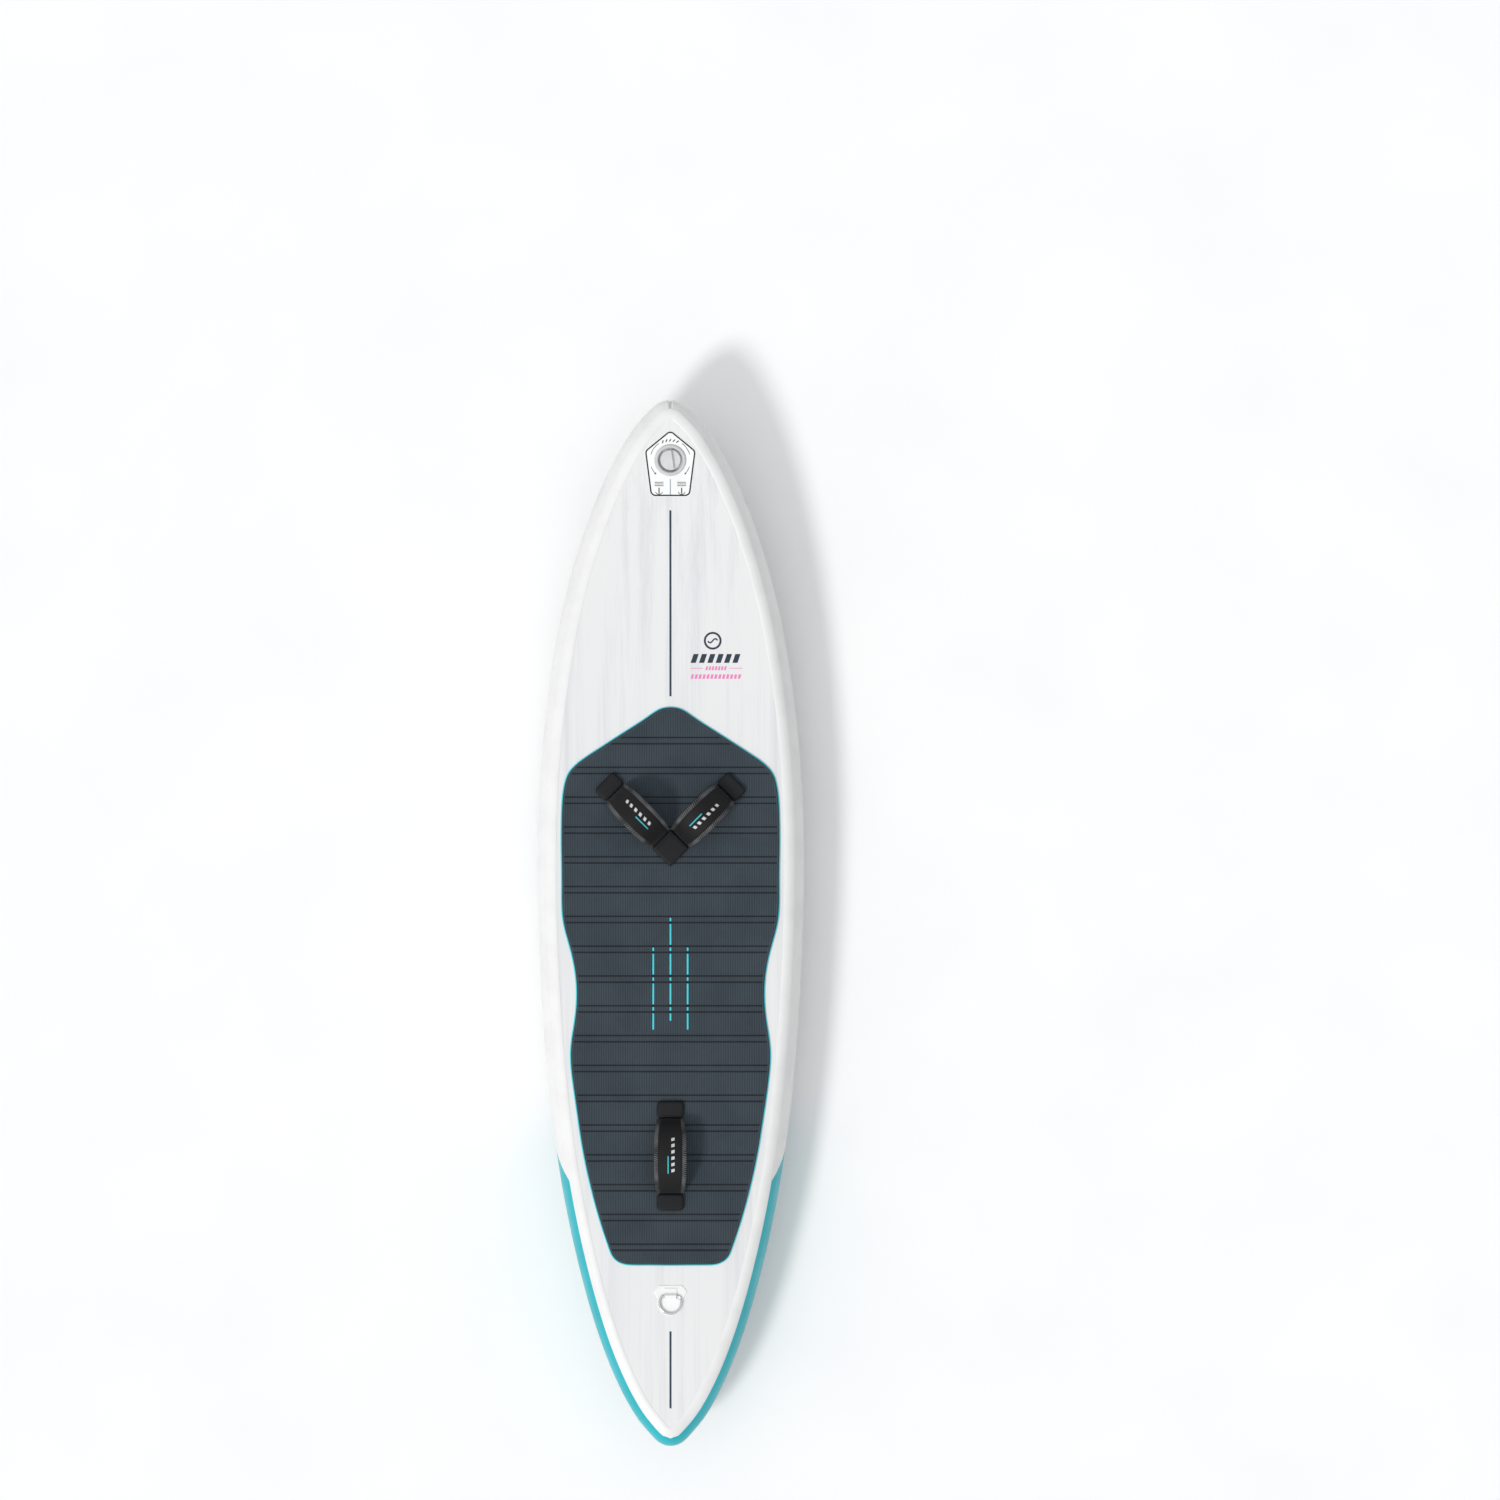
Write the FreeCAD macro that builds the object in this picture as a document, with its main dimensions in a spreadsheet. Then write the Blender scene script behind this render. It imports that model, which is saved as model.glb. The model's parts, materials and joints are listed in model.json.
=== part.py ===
import FreeCAD, Part
import math
import os
import Sketcher

# Inflatable stand-up board with a foil plate, as separate pieces, in millimetres.
# Frame: +Z up, +Y towards the nose, +X towards starboard. The origin is under the middle of the
# board, on the flat underside of the foil plate, which is what the board rests on.

Vector = FreeCAD.Vector
Rotation = FreeCAD.Rotation
Placement = FreeCAD.Placement

DIMENSIONS = [
    # hull
    ("board_length", 2134.0),
    ("rail_reach", 38.0),
    ("skin_thickness", 1.6),
    ("seam_gap", 0.5),
    ("seam_angle", 60.0),
    ("hull_base", 36.0),
    ("deck_height", 164.0),
    ("nose_rocker", 100.0),
    ("nose_deck_rise", 52.0),
    ("nose_rocker_start", 310.0),
    ("tail_rocker", 42.0),
    ("tail_deck_drop", 6.0),
    ("tail_rocker_start", 690.0),
    ("tail_deck_start", 800.0),
    ("tail_band_middle", 445.0),
    ("tail_band_slant", 78.0),
    ("yarn_radius", 1.2),
    ("yarn_pitch", 110.0),
    # deck pad
    ("pad_base_thickness", 2.0),
    ("pad_top_thickness", 4.0),
    ("groove_width", 3.0),
    ("groove_depth", 1.4),
    ("groove_pair_gap", 12.7),
    ("groove_pitch", 60.7),
    ("first_groove", 380.0),
    ("inlay_width", 4.0),
    ("inlay_side", 35.0),
    # foot straps
    ("strap_height", 62.0),
    ("front_strap_rise", 6.0),
    ("strap_end_width", 54.0),
    ("strap_mid_width", 67.0),
    ("cover_thickness", 7.0),
    ("webbing_width", 40.0),
    ("webbing_thickness", 1.8),
    ("strap_lean", 25.0),
    ("front_strap_span", 130.0),
    ("rear_strap_span", 152.0),
    ("rear_strap_centre", 472.0),
    ("block_centre", 155.0),
    ("block_width", 54.0),
    ("tab_length", 34.0),
    ("tab_thickness", 3.0),
    ("tab_gap", 1.0),
    ("plug_length", 28.0),
    ("plug_width", 46.0),
    ("plug_height", 5.0),
    ("anchor_plate_thickness", 1.5),
    ("screw_radius", 3.0),
    ("screw_head_radius", 5.5),
    ("screw_head_height", 2.4),
    ("screw_spacing", 26.0),
    ("insert_radius", 4.5),
    # valve
    ("valve_centre", 944.0),
    ("valve_flange_radius", 32.0),
    ("valve_flange_height", 4.0),
    ("valve_body_radius", 26.0),
    ("valve_recess_radius", 24.0),
    ("valve_recess_depth", 9.0),
    ("valve_bore_radius", 15.0),
    ("valve_body_depth", 32.0),
    ("valve_cap_radius", 21.0),
    ("grip_width", 9.0),
    ("grip_length", 40.0),
    ("pin_stem_radius", 2.0),
    ("pin_head_radius", 4.5),
    ("label_nose_end", 1006.0),
    ("label_tail_end", 870.0),
    ("label_thickness", 0.4),
    # leash point
    ("leash_patch_nose_end", 736.0),
    ("leash_bar", 758.0),
    ("leash_patch_half_width", 34.7),
    ("leash_patch_neck_half_width", 26.0),
    ("leash_patch_thickness", 1.5),
    ("ring_bow_radius", 22.0),
    ("ring_wire_radius", 2.4),
    # foil fairing, plate, handle and tracks
    ("fairing_nose_end", 305.0),
    ("fairing_tail_end", 676.0),
    ("fairing_half_width", 189.0),
    ("fairing_face", 3.5),
    ("base_sheet_thickness", 1.4),
    ("plate_thickness", 6.0),
    ("plate_nose_end", 192.0),
    ("plate_tail_end", 570.0),
    ("plate_half_width", 74.0),
    ("plate_corner_radius", 40.0),
    ("handle_width", 29.0),
    ("handle_nose_end", 4.0),
    ("handle_tail_end", 107.0),
    ("handle_wall", 2.0),
    ("handle_height", 31.0),
    ("finger_pocket", 16.0),
    ("track_spacing", 90.0),
    ("track_nose_end", 139.0),
    ("track_tail_end", 548.0),
    ("track_slot_width", 9.0),
    ("track_cavity_width", 17.0),
    ("track_lip", 2.6),
    ("track_cavity_height", 7.4),
    ("track_wall", 3.0),
    ("track_mouth_width", 15.0),
    ("track_mouth_length", 18.0),
    ("track_second_mouth", 308.0),
]


class Size:
    """A length that carries both its number and the sheet expression that gives it."""

    def __init__(self, value, text=None):
        self.value = float(value)
        self.text = text or repr(float(value))

    def __add__(self, other):
        other = as_size(other)
        return Size(self.value + other.value, "(%s + %s)" % (self.text, other.text))

    def __sub__(self, other):
        other = as_size(other)
        return Size(self.value - other.value, "(%s - %s)" % (self.text, other.text))

    def __mul__(self, factor):
        return Size(self.value * factor, "(%s * %r)" % (self.text, float(factor)))

    def __neg__(self):
        return Size(-self.value, "(-1 * %s)" % self.text)


def as_size(value):
    return value if isinstance(value, Size) else Size(value)


def make_sheet(doc):
    sheet = doc.addObject("Spreadsheet::Sheet", "Sizes")
    for row, (alias, value) in enumerate(DIMENSIONS, start=1):
        sheet.set("A%d" % row, alias)
        sheet.set("B%d" % row, str(value))
        sheet.setAlias("B%d" % row, alias)
    doc.recompute()
    return sheet


doc = FreeCAD.newDocument("paddleboard")
sheet = make_sheet(doc)
nodes = []


def size(alias):
    """One of the sheet's dimensions, for properties that are bound to it."""
    return Size(sheet.get(alias), "Sizes." + alias)


def mm(alias):
    """One of the sheet's dimensions as a plain number."""
    return float(sheet.get(alias))


# ---------------------------------------------------------------- document helpers


def keep(obj, label):
    """Name an object as a piece that is written to its own file."""
    obj.Label = label
    nodes.append(obj)
    return obj


def feature(label, shape):
    """A piece whose shape comes from Part's own functions."""
    obj = doc.addObject("Part::Feature", label)
    obj.Shape = shape
    return keep(obj, label)


def bind(obj, name, value):
    value = as_size(value)
    setattr(obj, name, value.value)
    if "Sizes." in value.text:
        obj.setExpression(name, value.text)


def body(label, placement=None):
    obj = doc.addObject("PartDesign::Body", label)
    if placement:
        obj.Placement = placement
    return keep(obj, label)


def new_sketch(owner, name, role, lift=0.0):
    """A sketch on one of the body's own origin planes, raised along the plane's normal by lift."""
    sketch = owner.newObject("Sketcher::SketchObject", name)
    plane = next(f for f in owner.Origin.OriginFeatures if f.Role == role)
    sketch.AttachmentSupport = [(plane, "")]
    sketch.MapMode = "FlatFace"
    lift = as_size(lift)
    sketch.AttachmentOffset = Placement(Vector(0, 0, lift.value), Rotation())
    if "Sizes." in lift.text:
        sketch.setExpression(".AttachmentOffset.Base.z", lift.text)
    return sketch


def pin_point(sketch, edge, end, x, y):
    """Hold one end of a sketch edge at a place that is bound to the sheet."""
    for kind, value in (("DistanceX", as_size(x)), ("DistanceY", as_size(y))):
        rule = Sketcher.Constraint(kind, -1, 1, edge, end, value.value)
        index = sketch.addConstraint(rule)
        if "Sizes." in value.text:
            sketch.setExpression("Constraints[%d]" % index, value.text)


def draw_polygon(sketch, corners):
    """A closed outline of straight edges."""
    corners = [(as_size(x), as_size(y)) for x, y in corners]
    points = [Vector(x.value, y.value, 0) for x, y in corners]
    first = sketch.GeometryCount
    count = len(points)
    for i in range(count):
        sketch.addGeometry(Part.LineSegment(points[i], points[(i + 1) % count]), False)
    for i in range(count):
        here = first + i
        following = first + (i + 1) % count
        sketch.addConstraint(Sketcher.Constraint("Coincident", here, 2, following, 1))
    for i, (x, y) in enumerate(corners):
        pin_point(sketch, first + i, 1, x, y)


def draw_circle(sketch, x, y, radius):
    x, y, radius = as_size(x), as_size(y), as_size(radius)
    circle = Part.Circle(Vector(x.value, y.value, 0), Vector(0, 0, 1), radius.value)
    edge = sketch.addGeometry(circle, False)
    index = sketch.addConstraint(Sketcher.Constraint("Radius", edge, radius.value))
    if "Sizes." in radius.text:
        sketch.setExpression("Constraints[%d]" % index, radius.text)
    pin_point(sketch, edge, 3, x, y)


def rectangle(x0, y0, x1, y1):
    return [(x0, y0), (x1, y0), (x1, y1), (x0, y1)]


def pad_feature(owner, sketch, length, symmetric=False):
    pad = owner.newObject("PartDesign::Pad", owner.Name + "Pad")
    pad.Profile = (sketch, [""])
    pad.SideType = "Symmetric" if symmetric else "One side"
    bind(pad, "Length", length)
    owner.Tip = pad
    doc.recompute()
    return pad


def pocket_feature(owner, sketch, length, reverse=False):
    """A pocket, checked to have taken material away."""
    doc.recompute()
    before = owner.Shape.Volume
    pocket = owner.newObject("PartDesign::Pocket", owner.Name + "Pocket")
    pocket.Profile = (sketch, [""])
    pocket.Reversed = reverse
    bind(pocket, "Length", length)
    owner.Tip = pocket
    doc.recompute()
    if owner.Shape.Volume > before - 1e-3:
        raise ValueError("a pocket in %s cuts nothing" % owner.Label)
    return pocket


def revolved(label, corners, placement):
    """A body of revolution about its own Z from a profile of (radius, height) corners."""
    owner = body(label, placement)
    sketch = new_sketch(owner, label + "_profile", "XZ_Plane")
    draw_polygon(sketch, corners)
    turn = owner.newObject("PartDesign::Revolution", label + "_turn")
    turn.Profile = (sketch, [""])
    turn.ReferenceAxis = (sketch, ["V_Axis"])
    turn.Angle = 360
    owner.Tip = turn
    doc.recompute()
    return owner


def upright(edge):
    """Whether a straight edge runs along Z."""
    if not isinstance(edge.Curve, Part.Line):
        return False
    start, end = edge.Vertexes[0].Point, edge.Vertexes[-1].Point
    return abs(start.x - end.x) < 1e-4 and abs(start.y - end.y) < 1e-4


# ---------------------------------------------------------------- outlines and hull shape


def ease(distance, start, end, power):
    """How far a place is from start to end, from 0 to 1, raised to a power."""
    return max(0.0, (distance - start) / (end - start)) ** power


def hull_bottom(y):
    half = mm("board_length") / 2
    nose = mm("nose_rocker") * ease(y, mm("nose_rocker_start"), half, 2.2)
    tail = mm("tail_rocker") * ease(-y, mm("tail_rocker_start"), half, 2.0)
    return mm("hull_base") + nose + tail


def hull_deck(y):
    half = mm("board_length") / 2
    nose = mm("nose_deck_rise") * ease(y, mm("nose_rocker_start"), half, 2.2)
    tail = mm("tail_deck_drop") * ease(-y, mm("tail_deck_start"), half, 2.0)
    return mm("deck_height") + nose - tail


def spline(points):
    curve = Part.BSplineCurve()
    curve.interpolate(points)
    return curve


def half_spline(points):
    """The starboard half of an outline that crosses the centreline square at both ends.

    The curve is drawn past both ends through mirrored points, and cut back to its half."""
    places = [Vector(x, y, 0) for x, y in points]
    reach = 6
    before = [Vector(-x, y, 0) for x, y in points[reach:0:-1]]
    after = [Vector(-x, y, 0) for x, y in points[-2 : -2 - reach : -1]]
    curve = spline(before + places + after)
    curve.segment(curve.parameter(places[0]), curve.parameter(places[-1]))
    return curve


def mirrored(curve):
    """The port half that matches a starboard half."""
    other = curve.copy()
    for index, pole in enumerate(curve.getPoles(), start=1):
        other.setPole(index, Vector(-pole.x, pole.y, pole.z))
    return other


def both_halves(curve):
    """The closed wire of a half outline and its mirror image."""
    return Part.Wire(Part.__sortEdges__([curve.toShape(), mirrored(curve).toShape()]))


def inset_points(points, distance):
    """The points of a half outline, moved inwards along its normals."""
    curve = half_spline(points)
    moved = []
    for x, y in points:
        place = Vector(x, y, 0)
        direction = curve.tangent(curve.parameter(place))[0]
        inward = Vector(direction.y, -direction.x, 0)
        place = place + inward * distance
        moved.append((0.0 if x == 0 else place.x, place.y))
    return moved


def flat_face(wire, z=0.0):
    face = Part.Face(wire)
    face.translate(Vector(0, 0, z))
    return face


def prism(wire, z0, z1):
    return flat_face(wire, z0).extrude(Vector(0, 0, z1 - z0))


def profile_band(surface, low, high, y0, y1):
    """A slab across the board between two offsets from a hull profile, from y0 to y1."""
    count = 41
    stations = [y0 + (y1 - y0) * i / (count - 1) for i in range(count)]
    edges = []
    for offset in (low, high):
        places = [Vector(0, y, surface(y) + offset) for y in stations]
        edges.append(spline(places).toShape())
    for y in (y0, y1):
        ends = [Vector(0, y, surface(y) + low), Vector(0, y, surface(y) + high)]
        edges.append(Part.makeLine(ends[0], ends[1]))
    face = Part.Face(Part.Wire(Part.__sortEdges__(edges)))
    reach = mm("board_length") / 2
    face.translate(Vector(-reach, 0, 0))
    return face.extrude(Vector(2 * reach, 0, 0))


def hull_layer(surface, wire, low, high):
    """A layer over or under the hull: an outline, between two offsets from a profile."""
    box = wire.BoundBox
    margin = 5.0
    band = profile_band(surface, low, high, box.YMin - margin, box.YMax + margin)
    tall = 2 * mm("deck_height")
    return band.common(prism(wire, -tall, tall)).Solids[0]


# The line where the flat skins meet the rounded rails: starboard half, nose to tail.
TIP = mm("board_length") / 2 - mm("rail_reach")
SKIN_OUTLINE = [
    (0, TIP),
    (14.5, 1020),
    (37, 996),
    (65, 955),
    (102, 884),
    (140, 788),
    (182, 641),
    (213, 465),
    (232, 248),
    (234.5, 130),
    (232.6, 0),
    (220, -237),
    (194, -474),
    (151, -691),
    (105, -847),
    (64, -943),
    (30, -998),
    (8, -1023),
    (0, -TIP),
]
skin_curve = half_spline(SKIN_OUTLINE)
skin_wire = both_halves(skin_curve)


def rail_point(along, angle, side, depth):
    """A place on the rail: how far along the seam line, angle above the middle, depth inside."""
    u = skin_curve.parameterAtDistance(along, skin_curve.FirstParameter)
    place = skin_curve.value(u)
    direction = skin_curve.tangent(u)[0]
    outward = Vector(-direction.y, direction.x, 0)
    if abs(place.x) < 0.01:
        outward = Vector(0, math.copysign(1, place.y), 0)
        place.x = 0.0
    reach = (mm("rail_reach") - depth) * math.cos(math.radians(angle))
    x = place.x + outward.x * reach
    y = place.y + outward.y * reach
    top, bottom = hull_deck(y) - depth, hull_bottom(y) + depth
    z = (top + bottom) / 2 + (top - bottom) / 2 * math.sin(math.radians(angle))
    return Vector(side * x, y, z)


def seam_distance(y):
    """How far along the seam line the place with this y is."""
    low, high = 0.0, skin_curve.length()
    for _ in range(40):
        middle = (low + high) / 2
        u = skin_curve.parameterAtDistance(middle, skin_curve.FirstParameter)
        if skin_curve.value(u).y > y:
            low = middle
        else:
            high = middle
    return low


def grid_surface(rows):
    surface = Part.BSplineSurface()
    surface.interpolate(rows)
    return surface


def turned_so_far(along):
    """The outline's turn from the nose to a place on the seam line, in degrees."""
    u = skin_curve.parameterAtDistance(along, skin_curve.FirstParameter)
    direction = skin_curve.tangent(u)[0]
    return math.degrees(math.atan2(-direction.y, direction.x))


def rail_stations(first, last, count):
    """Distances along the seam line, closer together where the outline turns quickly."""
    turn_scale = 12.0
    fine = 1200
    places = [first + (last - first) * i / fine for i in range(fine + 1)]
    grown = [0.0]
    for near, far in zip(places, places[1:]):
        turn = abs(turned_so_far(far) - turned_so_far(near))
        grown.append(grown[-1] + (far - near) + turn_scale * turn)
    stations = []
    k = 0
    for i in range(count + 1):
        wanted = grown[-1] * i / count
        while k < fine - 1 and grown[k + 1] < wanted:
            k += 1
        share = (wanted - grown[k]) / (grown[k + 1] - grown[k])
        stations.append(places[k] + (places[k + 1] - places[k]) * min(share, 1.0))
    return stations


def rail_shell(side, angles, start, end, count):
    """A closed piece of the rail's skin. start and end give its ends for an angle."""
    surfaces = []
    first, last = start(0.0), end(0.0)
    shares = [(a - first) / (last - first) for a in rail_stations(first, last, count)]
    for depth in (0.0, mm("skin_thickness")):
        rows = []
        for angle in angles:
            first, last = start(angle), end(angle)
            row = []
            for share in shares:
                row.append(rail_point(first + (last - first) * share, angle, side, depth))
            rows.append(row)
        surfaces.append(grid_surface(rows))
    outer, inner = surfaces
    faces = [outer.toShape(), inner.toShape()]
    u0, u1, v0, v1 = outer.bounds()
    s0, s1, t0, t1 = inner.bounds()
    pairs = [
        (outer.uIso(u0), inner.uIso(s0)),
        (outer.uIso(u1), inner.uIso(s1)),
        (outer.vIso(v0), inner.vIso(t0)),
        (outer.vIso(v1), inner.vIso(t1)),
    ]
    for a, b in pairs:
        faces.append(Part.makeRuledSurface(a.toShape(), b.toShape()))
    shell = Part.makeCompound(faces)
    shell.sewShape(0.01)
    solid = Part.makeSolid(shell.Shells[0] if shell.Shells else shell)
    if solid.Volume < 0:
        solid.reverse()
    return solid


def spread(low, high, count):
    return [low + (high - low) * i / count for i in range(count + 1)]


def make_hull():
    gap = mm("seam_gap")
    skin = mm("skin_thickness")
    length = skin_curve.length()
    seam = mm("seam_angle")
    near_flat = 90 - math.degrees(gap / mm("rail_reach"))
    angle_gap = math.degrees(gap / mm("rail_reach")) / 2

    deck = hull_layer(hull_deck, skin_wire, -skin, 0.0)
    hole = Part.makeCylinder(mm("valve_body_radius") + gap, 60, Vector(0, 0, -30))
    hole.Placement = valve_placement().multiply(hole.Placement)
    feature("deck_skin", deck.cut(hole))
    feature("bottom_skin", hull_layer(hull_bottom, skin_wire, 0.0, skin))

    def whole_start(angle):
        return 0.0

    def whole_end(angle):
        return length

    def oblique(angle):
        y = -mm("tail_band_middle") - mm("tail_band_slant") * angle / seam
        return seam_distance(y)

    def before_oblique(angle):
        return oblique(angle) - gap / 2

    def after_oblique(angle):
        return oblique(angle) + gap / 2

    middle = spread(-seam + angle_gap, seam - angle_gap, 10)
    above = spread(seam + angle_gap, near_flat, 4)
    below = spread(-near_flat, -seam - angle_gap, 4)
    for side, name in ((-1, "port"), (1, "starboard")):
        feature(
            "rail_band_" + name,
            rail_shell(side, middle, whole_start, before_oblique, 40),
        )
        feature(
            "tail_rail_" + name,
            rail_shell(side, middle, after_oblique, whole_end, 26),
        )
        feature(
            "deck_seam_tape_" + name,
            rail_shell(side, above, whole_start, whole_end, 54),
        )
        feature(
            "bottom_seam_tape_" + name,
            rail_shell(side, below, whole_start, whole_end, 54),
        )
    make_yarns()


def make_yarns():
    """The threads that hold the two skins at an even distance, as a few bundles of them."""
    pitch = mm("yarn_pitch")
    radius = mm("yarn_radius")
    clear = mm("skin_thickness") + mm("seam_gap")
    margin = 25.0
    sideways = 0.75 * pitch
    face = flat_face(both_halves(half_spline(inset_points(SKIN_OUTLINE, margin))))
    rows = int(mm("board_length") / pitch / 2)
    columns = 2
    rods = []
    for j in range(-rows, rows + 1):
        for i in range(-columns, columns + 1):
            x, y = i * sideways, j * pitch
            near_valve = math.hypot(x, y - mm("valve_centre")) < 2 * mm("valve_flange_radius")
            if near_valve or not face.isInside(Vector(x, y, 0), 0.1, True):
                continue
            low = max(hull_bottom(y - radius), hull_bottom(y + radius)) + clear
            high = min(hull_deck(y - radius), hull_deck(y + radius)) - clear
            rods.append(Part.makeCylinder(radius, high - low, Vector(x, y, low)))
    feature("drop_stitch_yarns", Part.makeCompound(rods))


# ---------------------------------------------------------------- deck pad

PAD_OUTLINE = [
    (0, 443),
    (22, 439),
    (44, 425.5),
    (100, 389),
    (160, 350),
    (190, 329),
    (209, 308),
    (218, 282),
    (223, 232),
    (224, 165),
    (223, 80),
    (220, 5),
    (206, -50),
    (195, -105),
    (193, -154),
    (197, -198),
    (204.5, -252),
    (196, -354),
    (182, -450),
    (164, -536),
    (143, -612),
    (127, -660),
    (117, -681),
    (99, -693),
    (70, -696),
    (0, -696.5),
]


def make_pad():
    base_low = 0.15
    base_high = mm("pad_base_thickness")
    top_high = base_high + mm("pad_top_thickness")
    wire = both_halves(half_spline(PAD_OUTLINE))
    clearance = mm("seam_gap")
    holes = []
    for x, y, turn in strap_anchors():
        length = mm("plug_length") + 2 * clearance
        width = mm("plug_width") + 2 * clearance
        hole = Part.makeBox(length, width, 20, Vector(-length / 2, -width / 2, -10))
        hole.rotate(Vector(0, 0, 0), Vector(0, 0, 1), turn)
        hole.translate(Vector(x, y, mm("deck_height")))
        holes.append(hole)
    base = hull_layer(hull_deck, wire, base_low, base_high).cut(holes)
    feature("deck_pad_base", base)

    glue = 0.02
    top = hull_layer(hull_deck, wire, base_high + glue, top_high).cut(holes)
    grooves = []
    pairs = 18
    width, depth = mm("groove_width"), mm("groove_depth")
    reach = 300.0
    for k in range(pairs):
        for shift in (0.0, -mm("groove_pair_gap")):
            y = mm("first_groove") - k * mm("groove_pitch") + shift
            corner = Vector(-reach, y - width / 2, hull_deck(y) + top_high - depth)
            grooves.append(Part.makeBox(2 * reach, width, 10, corner))
    line = mm("inlay_width")
    inlays = [(0.0, 17.0, -197.0)]
    for side in (-1, 1):
        inlays.append((side * mm("inlay_side"), -44.0, -215.0))
    for x, y1, y0 in inlays:
        corner = Vector(x - line / 2, y0, mm("deck_height") + base_high - 0.01)
        grooves.append(Part.makeBox(line, y1 - y0, 20, corner))
    feature("deck_pad_top", top.cut(grooves))


# ---------------------------------------------------------------- foot straps


def strap_frames():
    """Each strap's name, middle, direction from its inner to its outer end, and span."""
    half = mm("front_strap_span") / 2 + mm("block_width") / 2 + mm("tab_gap")
    frames = []
    for name, turn in (("port_front", 135.0), ("starboard_front", 45.0)):
        x = half * math.cos(math.radians(turn))
        y = mm("block_centre") + half * math.sin(math.radians(turn))
        frames.append((name, x, y, turn, mm("front_strap_span")))
    frames.append(("rear", 0.0, -mm("rear_strap_centre"), 90.0, mm("rear_strap_span")))
    return frames


def tab_centres():
    """The middle and turn of each end tab, apart from the block that the front straps share."""
    places = []
    for name, x, y, turn, span in strap_frames():
        ends = (-1, 1) if name == "rear" else (1,)
        for end in ends:
            reach = end * (span / 2 + mm("tab_gap") + mm("tab_length") / 2)
            places.append(
                (
                    name,
                    x + reach * math.cos(math.radians(turn)),
                    y + reach * math.sin(math.radians(turn)),
                    turn + (0 if end > 0 else 180),
                )
            )
    return places


def strap_anchors():
    """The middle and turn of every plug that holds a strap's end."""
    anchors = [(x, y, turn) for name, x, y, turn in tab_centres()]
    anchors.append((0.0, mm("block_centre"), 45.0))
    return anchors


def pad_surface():
    return mm("deck_height") + mm("pad_base_thickness") + mm("pad_top_thickness")


def arch_face(span, height, thickness):
    """The side view of an arch of even thickness, as a face in the XZ plane."""

    def half_ellipse(grow):
        wide, tall = span / 2 + grow, height + grow
        if wide > tall:
            curve = Part.Ellipse(Vector(0, 0, 0), wide, tall)
            edge = curve.toShape(0, math.pi)
        else:
            curve = Part.Ellipse(Vector(0, 0, 0), tall, wide)
            edge = curve.toShape(-math.pi / 2, math.pi / 2)
            edge.rotate(Vector(0, 0, 0), Vector(0, 0, 1), 90)
        edge.rotate(Vector(0, 0, 0), Vector(1, 0, 0), 90)
        return edge

    outer, inner = half_ellipse(0.0), half_ellipse(-thickness)
    feet = []
    for side in (-1, 1):
        outside = Vector(side * span / 2, 0, 0)
        inside = Vector(side * (span / 2 - thickness), 0, 0)
        feet.append(Part.makeLine(outside, inside))
    return Part.Face(Part.Wire(Part.__sortEdges__([outer, inner] + feet)))


def across(face, width):
    """Extrude an XZ face evenly to both sides of its plane."""
    face.translate(Vector(0, -width / 2, 0))
    return face.extrude(Vector(0, width, 0))


def lean_clearance(span):
    """What a leaning strap must leave free above the pad: a wedge along its hinge line."""
    reach = mm("strap_mid_width") / 2 + 5
    rise = reach * math.tan(math.radians(mm("strap_lean")))
    base = 1.2
    corners = [(-reach, -20), (reach, -20), (reach, base + rise), (0, base), (-reach, base + rise)]
    points = [Vector(-span, y, z) for y, z in corners]
    wire = Part.makePolygon(points + points[:1])
    return Part.Face(wire).extrude(Vector(2 * span, 0, 0))


def strap_plan(span):
    """The strap seen from above: narrow at its ends and wide in the middle."""
    end, middle = mm("strap_end_width") / 2, mm("strap_mid_width") / 2
    knee = span / 2 - 28
    corners = [(-span / 2 - 1, end), (-knee, middle - 1), (0, middle), (knee, middle - 1)]
    corners.append((span / 2 + 1, end))
    side = spline([Vector(x, y, 0) for x, y in corners]).toShape()
    other = side.mirror(Vector(0, 0, 0), Vector(0, 1, 0))
    ends = []
    for x in (corners[0][0], corners[-1][0]):
        ends.append(Part.makeLine(Vector(x, end, 0), Vector(x, -end, 0)))
    return prism(Part.Wire(Part.__sortEdges__([side, other] + ends)), -20, 120)


def make_straps():
    thick, web = mm("cover_thickness"), mm("webbing_thickness")
    play = 0.2
    for name, x, y, turn, span in strap_frames():
        height = mm("strap_height") + (0 if name == "rear" else mm("front_strap_rise"))
        place = Placement(Vector(x, y, pad_surface()), Rotation(Vector(0, 0, 1), turn))
        wedge = lean_clearance(span)
        cover = across(arch_face(span, height, thick), 2 * mm("strap_mid_width"))
        cover = cover.common(strap_plan(span)).cut(wedge)
        inset = (thick - web) / 2
        slot = across(
            arch_face(span - 2 * (inset - play), height - inset + play, web + 2 * play),
            mm("webbing_width") + 2 * play,
        )
        cover = cover.cut(slot)
        strap = across(arch_face(span - 2 * inset, height - inset, web), mm("webbing_width"))
        strap = strap.cut(wedge)
        for label, shape in (("_strap_cover", cover), ("_strap_webbing", strap)):
            made = feature(name + label, shape.Solids[0])
            made.Placement = place
    make_strap_ends()


def rounded_plate(length, width, height, corner):
    """A plate centred on the origin with its upright corners rounded."""
    plate = Part.makeBox(length, width, height, Vector(-length / 2, -width / 2, 0))
    return plate.makeFillet(corner, [edge for edge in plate.Edges if upright(edge)])


def placed(shape, x, y, z, turn):
    copy = shape.copy()
    copy.Placement = Placement(Vector(x, y, z), Rotation(Vector(0, 0, 1), turn))
    return copy


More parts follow.
